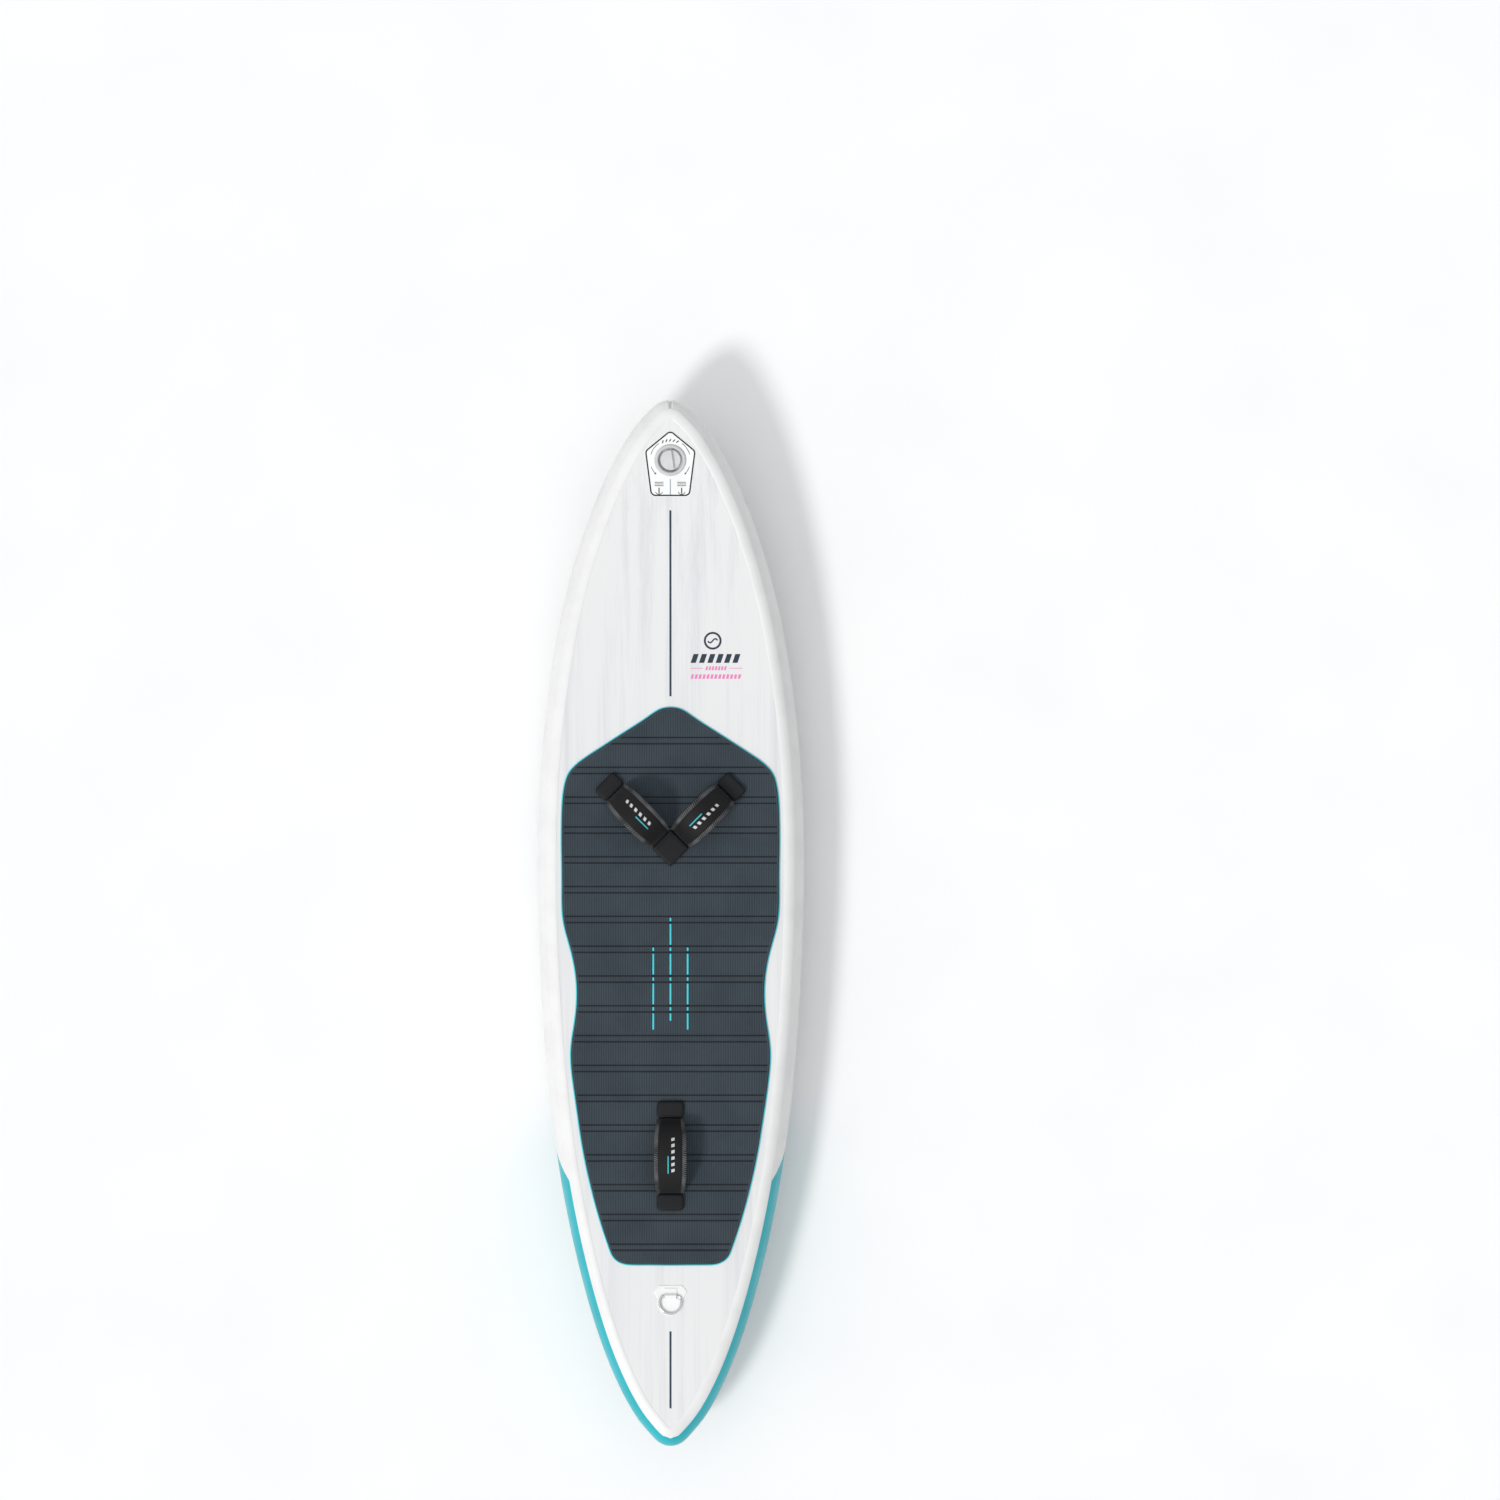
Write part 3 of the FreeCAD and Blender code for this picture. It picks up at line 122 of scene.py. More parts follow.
def joint(name):
    return next(row for row in frame["joints"] if row["name"] == name)


def hermite(places, values, slopes, at):
    """Smooth values between known places. All but places may hold one column for each axis."""
    index = np.clip(np.searchsorted(places, at, side="right") - 1, 0, len(places) - 2)
    step = places[index + 1] - places[index]
    share = (at - places[index]) / step
    if values.ndim > 1:
        step, share = step[:, None], share[:, None]
    first = (1 + 2 * share) * (1 - share) ** 2 * values[index]
    first = first + share * (1 - share) ** 2 * step * slopes[index]
    last = share**2 * (3 - 2 * share) * values[index + 1]
    return first + last - share**2 * (1 - share) * step * slopes[index + 1]


class Profile:
    """The height of one of the hull's faces, from the place along the board."""

    def __init__(self, rim):
        order = rim[np.argsort(rim[:, 1])]
        kept = [order[0]]
        for point in order[1:]:
            if point[1] - kept[-1][1] > 3 * MM:
                kept.append(point)
        kept = np.array(kept)
        self.y, self.z = kept[:, 1], kept[:, 2]
        self.slope = np.gradient(self.z, self.y)

    def __call__(self, y):
        y = np.atleast_1d(np.asarray(y, float))
        inside = np.clip(y, self.y[0], self.y[-1])
        z = hermite(self.y, self.z, self.slope, inside)
        past = y - inside
        slope = np.where(past > 0, self.slope[-1], self.slope[0])
        return z + past * slope


class Outline:
    """A closed outline seen from above, anticlockwise from the nose, sampled evenly."""

    def __init__(self, rim, count=720, smooth=True):
        points = rim[:, :2]
        step = np.linalg.norm(np.roll(points, -1, axis=0) - points, axis=1)
        points = points[step > 0.02 * MM]
        x, y = points[:, 0], points[:, 1]
        if np.sum(x * np.roll(y, -1) - np.roll(x, -1) * y) < 0:
            points = points[::-1]
        points = np.roll(points, -int(np.argmax(points[:, 1])), axis=0)
        closed = np.vstack([points, points[:1]])
        along = np.concatenate([[0], np.cumsum(np.linalg.norm(np.diff(closed, axis=0), axis=1))])
        at = np.linspace(0, along[-1], count, endpoint=False)
        if smooth:
            wide = np.vstack([points[-2:], closed, points[1:3]])
            long = np.concatenate([along[-3:-1] - along[-1], along, along[1:3] + along[-1]])
            slopes = np.gradient(wide, long, axis=0)[2:-2]
            self.points = hermite(along, closed, slopes, at)
        else:
            self.points = np.column_stack([np.interp(at, along, closed[:, k]) for k in (0, 1)])
        tangent = np.roll(self.points, -1, axis=0) - np.roll(self.points, 1, axis=0)
        tangent /= np.linalg.norm(tangent, axis=1)[:, None]
        self.normals = np.column_stack([tangent[:, 1], -tangent[:, 0]])

    def offset(self, distance):
        return self.points + self.normals * distance

    def half_width(self, y, distance):
        """How far starboard the outline reaches at each y, once moved by a distance."""
        ring = self.offset(distance)
        side = ring[ring[:, 0] >= 0]
        side = side[np.argsort(side[:, 1])]
        return np.interp(y, side[:, 1], side[:, 0], left=0.0, right=0.0)


deck_z = Profile(outer_rim("deck_skin"))
bottom_z = Profile(outer_rim("bottom_skin", upper=False))
seam = Outline(outer_rim("deck_skin"), 900)
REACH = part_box("rail_band_starboard")[1].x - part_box("deck_skin")[1].x
DECK = float(deck_z(0.0)[0])


def hull_ring(angle, proud, inwards=0.0):
    """A ring round the hull: on the rail at an angle above its middle, or inwards on a flat face."""
    spread = (REACH + proud) * math.cos(angle) if inwards == 0 else -inwards
    ring = seam.offset(spread)
    top, bottom = deck_z(ring[:, 1]) + proud, bottom_z(ring[:, 1]) - proud
    lift = math.sin(angle) if inwards == 0 else math.copysign(1, angle)
    return np.column_stack([ring, (top + bottom) / 2 + (top - bottom) / 2 * lift])


# ---------------------------------------------------------------- materials


def srgb(red, green, blue):
    """A colour as a screen shows it, from 0 to 255, in the linear values that shaders use."""

    def linear(value):
        value /= 255
        return value / 12.92 if value <= 0.04045 else ((value + 0.055) / 1.055) ** 2.4

    return (linear(red), linear(green), linear(blue), 1.0)


def shade_of(color, factor, lift=0.0):
    """A colour made darker or lighter."""
    return tuple(min(1.0, value * factor + lift) for value in color[:3]) + (1.0,)


class Finish:
    """A material with one Principled shader, and short ways to add nodes before it."""

    def __init__(self, name, color, roughness=0.5, **sockets):
        self.material = bpy.data.materials.new(name)
        self.material.use_nodes = True
        self.tree = self.material.node_tree
        self.shader = self.tree.nodes["Principled BSDF"]
        self.feed(self.shader.inputs["Base Color"], color)
        self.feed(self.shader.inputs["Roughness"], roughness)
        for label, value in sockets.items():
            self.feed(self.shader.inputs[label.replace("_", " ")], value)

    def feed(self, socket, value):
        if isinstance(value, bpy.types.NodeSocket):
            self.tree.links.new(value, socket)
        else:
            socket.default_value = value

    def node(self, kind, *values, **settings):
        made = self.tree.nodes.new("ShaderNode" + kind)
        for label, value in settings.items():
            setattr(made, label, value)
        for socket, value in zip(made.inputs, values):
            if value is not None:
                self.feed(socket, value)
        return made

    def math(self, operation, first, second=0.0):
        return self.node("Math", first, second, operation=operation).outputs[0]

    def times(self, first, second):
        return self.math("MULTIPLY", first, second)

    def plus(self, first, second):
        return self.math("ADD", first, second)

    def place(self):
        """The place on the object, in metres in the frame of the board."""
        return self.node("TexCoord").outputs["Object"]

    def axes(self, vector):
        return self.node("SeparateXYZ", vector).outputs

    def turned(self, vector, degrees):
        return self.node("Mapping", vector, None, (0.0, 0.0, math.radians(degrees))).outputs[0]

    def scaled(self, vector, x, y, z):
        return self.node("Mapping", vector, None, None, (x, y, z)).outputs[0]

    def noise(self, vector, scale, detail=3.0):
        made = self.node("TexNoise")
        self.feed(made.inputs["Vector"], vector)
        made.inputs["Scale"].default_value = scale
        made.inputs["Detail"].default_value = detail
        return made.outputs["Fac"]

    def ramp(self, value, low, high, start=0.0, end=1.0):
        return self.node("MapRange", value, low, high, start, end).outputs[0]

    def mix(self, share, first, second):
        made = self.node("Mix", data_type="RGBA")
        self.feed(made.inputs["Factor"], share)
        self.feed(made.inputs[6], first)
        self.feed(made.inputs[7], second)
        return made.outputs[2]

    def color(self, value):
        self.feed(self.shader.inputs["Base Color"], value)

    def rough(self, pattern, low, high):
        """Roughness between two values, after a pattern of 0 to 1."""
        self.feed(self.shader.inputs["Roughness"], self.ramp(pattern, 0.3, 0.7, low, high))

    def bump(self, height, depth):
        """Relief whose full height is depth, in metres."""
        made = self.node("Bump")
        made.inputs["Strength"].default_value = 1.0
        made.inputs["Distance"].default_value = depth
        self.feed(made.inputs["Height"], height)
        self.feed(self.shader.inputs["Normal"], made.outputs[0])

    def weave(self, vector, pitch):
        """Crossing threads of a pitch, from 0 between them to 1 on their tops."""
        x, y, z = self.axes(vector)
        waves = []
        for axis in (x, y):
            wave = self.math("SINE", self.times(axis, 2 * math.pi / pitch))
            waves.append(self.math("ABSOLUTE", wave))
        return self.math("MAXIMUM", waves[0], waves[1])


def panel_finish(name, light, shade, amount):
    """Laminated fabric with soft lengthwise streaks, and a fine diagonal weave under the film."""
    finish = Finish(name, light, 0.42)
    place = finish.place()
    streaks = finish.noise(finish.scaled(place, 48.0, 0.9, 48.0), 1.0, 4.0)
    fine = finish.noise(finish.scaled(place, 320.0, 3.0, 320.0), 1.0, 2.0)
    share = finish.plus(finish.times(streaks, 0.7), finish.times(fine, 0.3))
    share = finish.ramp(share, 0.46, 0.66, 0.0, amount)
    finish.color(finish.mix(share, light, shade))
    weave = finish.weave(finish.turned(place, 45), 1.6 * MM)
    finish.bump(weave, 0.03 * MM)
    finish.rough(streaks, 0.38, 0.5)
    return finish.material


def coated_finish(name, color, roughness=0.38, grain=0.04):
    """Smooth coated fabric: faint mottling, dull patches and a trace of the cloth under it."""
    finish = Finish(name, color, roughness)
    place = finish.place()
    mottle = finish.noise(place, 18.0, 5.0)
    finish.color(finish.mix(finish.ramp(mottle, 0.42, 0.72, 0.0, 0.8), color, shade_of(color, 0.93)))
    finish.rough(mottle, roughness - 0.05, roughness + 0.08)
    finish.bump(finish.weave(finish.turned(place, 30), 1.3 * MM), grain * MM)
    return finish.material


def moulded_finish(name, color, roughness=0.45, texture=0.05, scale=900.0, **sockets):
    """Moulded plastic or rubber with a fine spark-eroded grain."""
    finish = Finish(name, color, roughness, **sockets)
    place = finish.place()
    grain = finish.noise(place, scale, 4.0)
    wear = finish.noise(place, 40.0, 4.0)
    lighter = shade_of(color, 1.12, 0.004)
    finish.color(finish.mix(finish.ramp(wear, 0.45, 0.75, 0.0, 0.7), color, lighter))
    finish.rough(wear, roughness - 0.05, roughness + 0.08)
    finish.bump(grain, texture * MM)
    return finish.material


def metal_finish(name, color, roughness, brushed):
    finish = Finish(name, color, roughness, Metallic=1.0)
    place = finish.place()
    lines = finish.noise(finish.scaled(place, 1.0, 30.0, 30.0), 60.0, 3.0)
    finish.rough(lines, roughness, roughness + brushed)
    finish.bump(lines, brushed * 0.05 * MM)
    return finish.material


def foam_finish(name, color, darker, pore_share, patch_share, groove=None):
    """Closed-cell foam: tiny pores and a slightly uneven, dusty surface.

    groove is a painted shade colour for the bottoms of the grooves and rib valleys, where shade falls; the
    attribute pad_depth mixes it in, fully where it is 1."""
    finish = Finish(name, color, 0.85)
    place = finish.place()
    pores = finish.noise(place, 1400.0, 3.0)
    patches = finish.noise(place, 14.0, 4.0)
    dark_pores = finish.ramp(pores, 0.4, 0.7, 0.0, pore_share)
    dark_patches = finish.ramp(patches, 0.4, 0.7, 0.0, patch_share)
    foam = finish.mix(finish.plus(dark_pores, dark_patches), color, darker)
    if groove:
        # painted shade: the grooves and rib valleys are darkened towards the groove colour the deeper they
        # lie
        depth = finish.node("Attribute", attribute_name="pad_depth").outputs["Fac"]
        foam = finish.mix(finish.ramp(depth, 0.1, 1.0), foam, groove)
    finish.color(foam)
    finish.bump(pores, 0.12 * MM)
    finish.rough(patches, 0.8, 0.92)
    return finish.material


def carbon_finish():
    """Two-by-two twill under clear resin, laid at 45 degrees, with a painted sheen that makes the warp tows
    lighter than the weft.
    """
    finish = Finish("carbon", srgb(30, 30, 33), 0.28, Coat_Weight=0.35)
    finish.shader.inputs["Coat Roughness"].default_value = 0.12
    pitch = 2.6 * MM
    x, y, z = finish.axes(finish.turned(finish.place(), 45))
    across = finish.math("DIVIDE", x, pitch)
    along = finish.math("DIVIDE", y, pitch)
    cells = finish.plus(finish.math("FLOOR", across), finish.math("FLOOR", along))
    step = finish.math("FLOORED_MODULO", cells, 4.0)
    warp = finish.math("LESS_THAN", step, 1.5)
    # painted sheen: the warp tows are painted lighter than the weft, in place of the light the fibres reflect
    # along their length
    finish.color(finish.mix(warp, srgb(18, 18, 20), srgb(44, 44, 47)))
    tow = finish.times(warp, finish.math("FRACT", across))
    tows = finish.math("SINE", finish.times(tow, math.pi))
    finish.bump(tows, 0.03 * MM)
    finish.rough(warp, 0.24, 0.36)
    return finish.material


def cloth_finish(name, color, pitch, depth):
    finish = Finish(name, color, 0.8, Sheen_Weight=0.12)
    finish.shader.inputs["Sheen Roughness"].default_value = 0.4
    place = finish.place()
    weave = finish.weave(finish.turned(place, 45), pitch)
    # painted shade: the gaps between the threads are painted darker than the thread tops
    finish.color(finish.mix(weave, shade_of(color, 0.6), color))
    finish.bump(weave, depth)
    return finish.material


def strap_finish():
    """Black neoprene with a knitted face; printed edges, a row of bars and a thin cyan line.

    The attribute strap_place holds the distance along the strap from its middle, the share of the
    half width across it, and which face the point is on."""
    black = srgb(18, 18, 20)
    finish = Finish("strap_neoprene", black, 0.7, Sheen_Weight=0.05, Specular_IOR_Level=0.25)
    finish.shader.inputs["Sheen Roughness"].default_value = 0.45
    attribute = finish.node("Attribute", attribute_name="strap_place").outputs["Vector"]
    along, across, face = finish.axes(attribute)

    def between(value, low, high):
        above = finish.math("GREATER_THAN", value, low)
        return finish.times(above, finish.math("LESS_THAN", value, high))

    knit = finish.weave(finish.turned(finish.place(), 45), 1.1 * MM)
    fuzz = finish.noise(finish.place(), 700.0, 4.0)
    base = finish.mix(finish.ramp(fuzz, 0.35, 0.7), srgb(13, 13, 14), srgb(27, 27, 29))
    # edge trims: slanting grey dashes that gather in groups
    top = finish.math("GREATER_THAN", face, 0.5)
    edge = finish.times(between(finish.math("ABSOLUTE", across), 0.735, 0.985), top)
    slope = finish.plus(along, finish.times(across, 12 * MM))
    dash = finish.math("FRACT", finish.math("DIVIDE", slope, 4.2 * MM))
    group = finish.noise(finish.scaled(attribute, 26.0, 0.9, 0.0), 1.0, 1.0)
    wide = finish.ramp(group, 0.35, 0.65, 0.15, 0.85)
    dashes = finish.times(edge, finish.math("LESS_THAN", dash, wide))
    base = finish.mix(finish.times(dashes, 0.7), base, srgb(112, 112, 114))
    # the print on the middle panel
    slant = finish.plus(along, finish.times(across, -9 * MM))
    bar = finish.math("LESS_THAN", finish.math("FRACT", finish.math("DIVIDE", slant, 12.4 * MM)), 0.5)
    row = finish.times(between(slant, -37.2 * MM, 37.2 * MM), between(across, -0.27, -0.07))
    bars = finish.times(finish.times(row, bar), top)
    base = finish.mix(bars, base, srgb(205, 205, 206))
    line = finish.times(finish.times(between(along, -2 * MM, 33 * MM), between(across, 0.09, 0.16)), top)
    base = finish.mix(line, base, srgb(60, 190, 200))
    finish.color(base)
    finish.bump(finish.plus(knit, finish.times(fuzz, 0.5)), 0.07 * MM)
    finish.rough(fuzz, 0.55, 0.75)
    return finish.material


def ink(name, color):
    """Screen print: flat colour with slightly uneven cover."""
    finish = Finish(name, color, 0.45)
    cover = finish.noise(finish.place(), 160.0, 4.0)
    worn = shade_of(color, 1.15, 0.01)
    finish.color(finish.mix(finish.ramp(cover, 0.5, 0.75, 0.0, 0.6), color, worn))
    return finish.material


def slot_of(material):
    """The slot that a material is named after."""
    return material.name.split(".")[0]


MATERIALS = [
    panel_finish("deck_pvc", srgb(234, 234, 234), srgb(212, 214, 218), 0.6),
    panel_finish("bottom_pvc", srgb(218, 219, 221), srgb(184, 188, 196), 0.8),
    coated_finish("rail_pvc", srgb(236, 236, 235), 0.36),
    coated_finish("tail_rail_pvc", srgb(14, 178, 190), 0.34),
    coated_finish("seam_tape_pvc", srgb(238, 238, 237), 0.34),
    cloth_finish("yarn", srgb(235, 235, 230), 0.8 * MM, 0.1 * MM),
    foam_finish("pad_base_foam", srgb(82, 214, 228), srgb(64, 194, 210), 0.5, 0.35),
    # pad_foam: its last colour is painted shade for the bottoms of the grooves and rib valleys
    foam_finish("pad_foam", srgb(62, 74, 82), srgb(48, 59, 67), 0.4, 0.3, srgb(24, 31, 37)),
    strap_finish(),
    cloth_finish("webbing", srgb(34, 34, 36), 1.4 * MM, 0.2 * MM),
    moulded_finish("black_plastic", srgb(26, 26, 28), 0.5),
    metal_finish("brass", srgb(212, 175, 95), 0.3, 0.12),
    metal_finish("stainless", srgb(200, 200, 202), 0.3, 0.12),
    metal_finish("polished_stainless", srgb(215, 215, 217), 0.1, 0.05),
    moulded_finish("valve_plastic", srgb(204, 205, 206), 0.42),
    moulded_finish("valve_cap_plastic", srgb(210, 211, 212), 0.4),
    moulded_finish("pin_plastic", srgb(228, 228, 226), 0.4),
    moulded_finish("seal_rubber", srgb(38, 38, 38), 0.65, 0.03),
    coated_finish("label_film", srgb(250, 250, 250), 0.25, 0.01),
    coated_finish("patch_pvc", srgb(248, 248, 247), 0.36),
    coated_finish("fairing_pvc", srgb(244, 244, 243), 0.36),
    carbon_finish(),
    moulded_finish("handle_plastic", srgb(196, 197, 199), 0.5),
    moulded_finish("track_plastic", srgb(214, 215, 217), 0.45),
]
FINISHES = {slot_of(material): material for material in MATERIALS}
NAVY = ink("navy_ink", srgb(24, 45, 64))
BLACK = ink("black_ink", srgb(22, 24, 26))
GREY = ink("grey_ink", srgb(150, 158, 166))
PALE = ink("pale_grey_ink", srgb(176, 183, 190))
PINK = ink("pink_ink", srgb(236, 130, 190))
CYAN = ink("cyan_ink", srgb(60, 190, 200))
THREAD = cloth_finish("black_thread", srgb(46, 46, 48), 0.5 * MM, 0.05 * MM)
TAB_RUBBER = moulded_finish("tab_rubber", srgb(19, 20, 23), 0.55, 0.12, 500.0, Specular_IOR_Level=0.25)

for node in frame["nodes"].values():
    for material_slot in node.material_slots:
        material_slot.material = FINISHES[slot_of(material_slot.material)]


# ---------------------------------------------------------------- mesh helpers


def new_piece(name, points, faces, slot, replaces=(), material=None, sharp=40.0):
    """An object with the finish of a slot, or one of its own. It stands for the nodes it replaces."""
    mesh = bpy.data.meshes.new(name)
    mesh.from_pydata([tuple(point) for point in points], [], faces)
    work = bmesh.new()
    work.from_mesh(mesh)
    bmesh.ops.recalc_face_normals(work, faces=work.faces)
    work.to_mesh(mesh)
    work.free()
    mesh.shade_smooth()
    mesh.set_sharp_from_angle(angle=math.radians(sharp))
    mesh.materials.append(material or FINISHES[slot])
    piece = bpy.data.objects.new(name, mesh)
    bpy.context.scene.collection.objects.link(piece)
    if replaces:
        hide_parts(*replaces)
    return piece


def grid_faces(rows, columns, around_rows=False, around_columns=False, first=0):
    """The quads of a grid of points kept row by row, wrapped round in either direction."""
    faces = []
    for i in range(rows if around_rows else rows - 1):
        for j in range(columns if around_columns else columns - 1):
            here, across = i * columns, (j + 1) % columns
            above = (i + 1) % rows * columns
            faces.append((first + here + j, first + here + across, first + above + across, first + above + j))
    return faces


def band(rings):
    """Points and faces of a closed band round an outline, from its rings round the section."""
    rings = np.array(rings)
    return rings.reshape(-1, 3), grid_faces(len(rings), rings.shape[1], True, True)


def mound(rings):
    """Points and faces of a solid whose rings go up from its foot to its top."""
    rings = np.array(rings)
    count = rings.shape[1]
    faces = grid_faces(len(rings), count, False, True)
    faces.append(tuple(range(count))[::-1])
    last = (len(rings) - 1) * count
    faces.append(tuple(range(last, last + count)))
    return rings.reshape(-1, 3), faces


class Pieces:
    """Several closed shapes that make one object."""

    def __init__(self):
        self.points, self.faces = [], []

    def add(self, points, faces):
        first = len(self.points)
        self.points.extend(np.asarray(points).tolist())
        self.faces.extend(tuple(first + i for i in face) for face in faces)


def arc(x, y, radius, start, end, count=48):
    """Points on an arc, from one angle to another in degrees."""
    angles = np.radians(np.linspace(start, end, count))
    return np.column_stack([x + radius * np.cos(angles), y + radius * np.sin(angles)])


def rounded_rectangle(length, width, corner, steps=6):
    """A ring of points round a rectangle with round corners."""
    ring = []
    for quarter, (sx, sy) in enumerate(((1, 1), (-1, 1), (-1, -1), (1, -1))):
        x, y = sx * (length / 2 - corner), sy * (width / 2 - corner)
        ring.append(arc(x, y, corner, 90 * quarter, 90 * quarter + 90, steps))
    return np.vstack(ring)


def along_corners(corners, steps, closed=False):
    """Even steps on the straight lines from corner to corner."""
    corners = np.array(corners)
    following = np.roll(corners, -1, axis=0) if closed else corners[1:]
    lines = [np.linspace(a, b, steps, endpoint=False) for a, b in zip(corners, following)]
    return np.vstack(lines if closed else lines + [corners[-1:]])


class Print(Pieces):
    """Marks in one ink, as thin slabs that follow a surface. side is 1 above it and -1 below."""

    THICKNESS = 0.15 * MM

    def __init__(self, surface, side=1):
        super().__init__()
        self.surface, self.side = surface, side

    def lifted(self, places, height):
        z = self.surface(places) + self.side * height
        return np.column_stack([places, z])

    def ribbon(self, path, width, closed=False):
        path = np.asarray(path, float)
        if closed:
            tangent = np.roll(path, -1, axis=0) - np.roll(path, 1, axis=0)
        else:
            tangent = np.gradient(path, axis=0)
        tangent /= np.linalg.norm(tangent, axis=1)[:, None]
        normal = np.column_stack([-tangent[:, 1], tangent[:, 0]]) * width / 2
        left, right = path + normal, path - normal
        low, high = 0.02 * MM, self.THICKNESS
        corners = [(left, low), (left, high), (right, high), (right, low)]
        rows = np.stack([self.lifted(place, height) for place, height in corners], axis=1)
        count = len(path)
        faces = grid_faces(count, 4, closed, True)
        if not closed:
            last = 4 * (count - 1)
            faces += [(0, 1, 2, 3), (last + 3, last + 2, last + 1, last)]
        self.add(rows.reshape(-1, 3), faces)

    def line(self, x0, y0, x1, y1, width, steps=24):
        self.ribbon(np.linspace((x0, y0), (x1, y1), steps), width)

    def fill(self, outline):
        outline = np.asarray(outline, float)
        points, faces = mound([self.lifted(outline, 0.02 * MM), self.lifted(outline, self.THICKNESS)])
        self.add(points, faces)

    def slanted_bars(self, x, y, length, height, count, slant):
        """A row of leaning bars along X in place of lettering."""
        pitch = length / count
        for i in range(count):
            left = x - length / 2 + i * pitch
            right = left + 0.62 * pitch
            low, high = y - height / 2, y + height / 2
            self.fill([(left, low), (right, low), (right + slant, high), (left + slant, high)])

    def make(self, name, material, slot):
        piece = new_piece(name, self.points, self.faces, slot, material=material)
        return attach(piece, "board")


# ---------------------------------------------------------------- hull


def make_seam_tapes():
    """The raised tapes that cover the seams between the flat skins and the rails."""
    lower, upper = 58.4, 87.0
    proud = 0.7 * MM
    for face, sign in (("deck", 1), ("bottom", -1)):
        section = [(lower, 0.0, 0.0), (lower + 0.3, 0.45 * MM, 0.0), (lower + 1.2, proud, 0.0)]
        section += [(angle, proud, 0.0) for angle in np.linspace(lower + 6, upper, 7)]
        section += [(90.0, proud, 0.3 * MM), (90.0, 0.9 * proud, 1.3 * MM), (90.0, 0.45 * MM, 1.9 * MM)]
        section += [(90.0, 0.0, 2.1 * MM), (90.0, -0.4 * MM, 1.0 * MM)]
        section += [(angle, -0.4 * MM, 0.0) for angle in (upper, 75.0, lower + 1)]
        rings = [hull_ring(sign * math.radians(angle), lift, inwards) for angle, lift, inwards in section]
        nodes = ["%s_seam_tape_%s" % (face, side) for side in ("port", "starboard")]
        piece = new_piece(face + "_seam_tape", *band(rings), "seam_tape_pvc", nodes)
        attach(piece, "board")


def make_deck_prints():
    on_deck = surface_of("deck_skin")
    marks = Print(on_deck)
    stripe = 4.2 * MM
    marks.line(0, 842 * MM, 0, 464 * MM, stripe, 60)
    marks.line(0, -830 * MM, 0, -987 * MM, stripe)
    # a round mark and a row of bars beside the stripe
    x, y = 86 * MM, 577 * MM
    marks.ribbon(arc(x, y, 16 * MM, 0, 352.5), 4.2 * MM, closed=True)
    wave = [(x + t * MM, y + 4 * MM * math.sin(t / 3.4)) for t in np.linspace(-10, 10, 24)]
    marks.ribbon(wave, 3.0 * MM)
    marks.slanted_bars(92 * MM, 541 * MM, 102 * MM, 18 * MM, 6, 6 * MM)
    marks.make("deck_stripes_and_mark", NAVY, "deck_pvc")
    thin = Print(on_deck)
    thin.line(40 * MM, 521 * MM, 66 * MM, 521 * MM, 1.2 * MM)
    thin.line(120 * MM, 521 * MM, 146 * MM, 521 * MM, 1.2 * MM)
    thin.slanted_bars(93 * MM, 521 * MM, 44 * MM, 8 * MM, 7, 2 * MM)
    thin.slanted_bars(93 * MM, 504 * MM, 104 * MM, 9 * MM, 13, 2 * MM)
    thin.make("deck_pink_marks", PINK, "deck_pvc")


def make_bottom_prints():
    on_bottom = surface_of("bottom_skin", -1)
    big = Print(on_bottom, -1)
    ring_y = 548 * MM
    big.ribbon(arc(0, ring_y, 62 * MM, -100, 200, 120), 38 * MM)
    big.make("bottom_large_ring", PALE, "bottom_pvc")
    emblem = Print(on_bottom, -1)
    y = 902 * MM
    for radius, width in ((41 * MM, 1.8 * MM), (29 * MM, 1.4 * MM)):
        emblem.ribbon(arc(0, y, radius, 0, 357, 120), width, closed=True)
    ticks = 40
    for inner, outer in zip(arc(0, y, 33 * MM, 0, 351, ticks), arc(0, y, 37 * MM, 0, 351, ticks)):
        emblem.line(*inner, *outer, 1.6 * MM, 4)
    for level in (-7, 0, 7):
        side, rise = 19 * MM, 8 * MM
        middle = y + level * MM
        diamond = [(side, middle), (0, middle + rise), (-side, middle), (0, middle - rise)]
        emblem.ribbon(along_corners(diamond, 6, closed=True), 1.2 * MM, closed=True)
    emblem.make("bottom_emblem", NAVY, "bottom_pvc")


# ---------------------------------------------------------------- deck pad

GROOVE_PITCH, GROOVE_PAIR = 60.7 * MM, 12.7 * MM
GROOVE_WIDTH, GROOVE_DEPTH = 3.0 * MM, 1.4 * MM
FIRST_GROOVE = 380 * MM
GROOVES = sorted(FIRST_GROOVE - k * GROOVE_PITCH - pair for k in range(18) for pair in (0.0, GROOVE_PAIR))
# each inlaid line: its place across, its nose end and its tail end
INLAYS = [(0.0, 17 * MM, -197 * MM), (35 * MM, -44 * MM, -215 * MM), (-35 * MM, -44 * MM, -215 * MM)]
INLAY_WIDTH = 4.0 * MM
BASE_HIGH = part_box("deck_pad_base")[1].z - float(deck_z(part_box("deck_pad_base")[1].y)[0])
TOP_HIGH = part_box("deck_pad_top")[1].z - float(deck_z(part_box("deck_pad_top")[1].y)[0])
PAD_TOP_FLAT = DECK + TOP_HIGH


def pad_ring(outline, inset, height):
    ring = outline.offset(-inset)
    return np.column_stack([ring, deck_z(ring[:, 1]) + height])


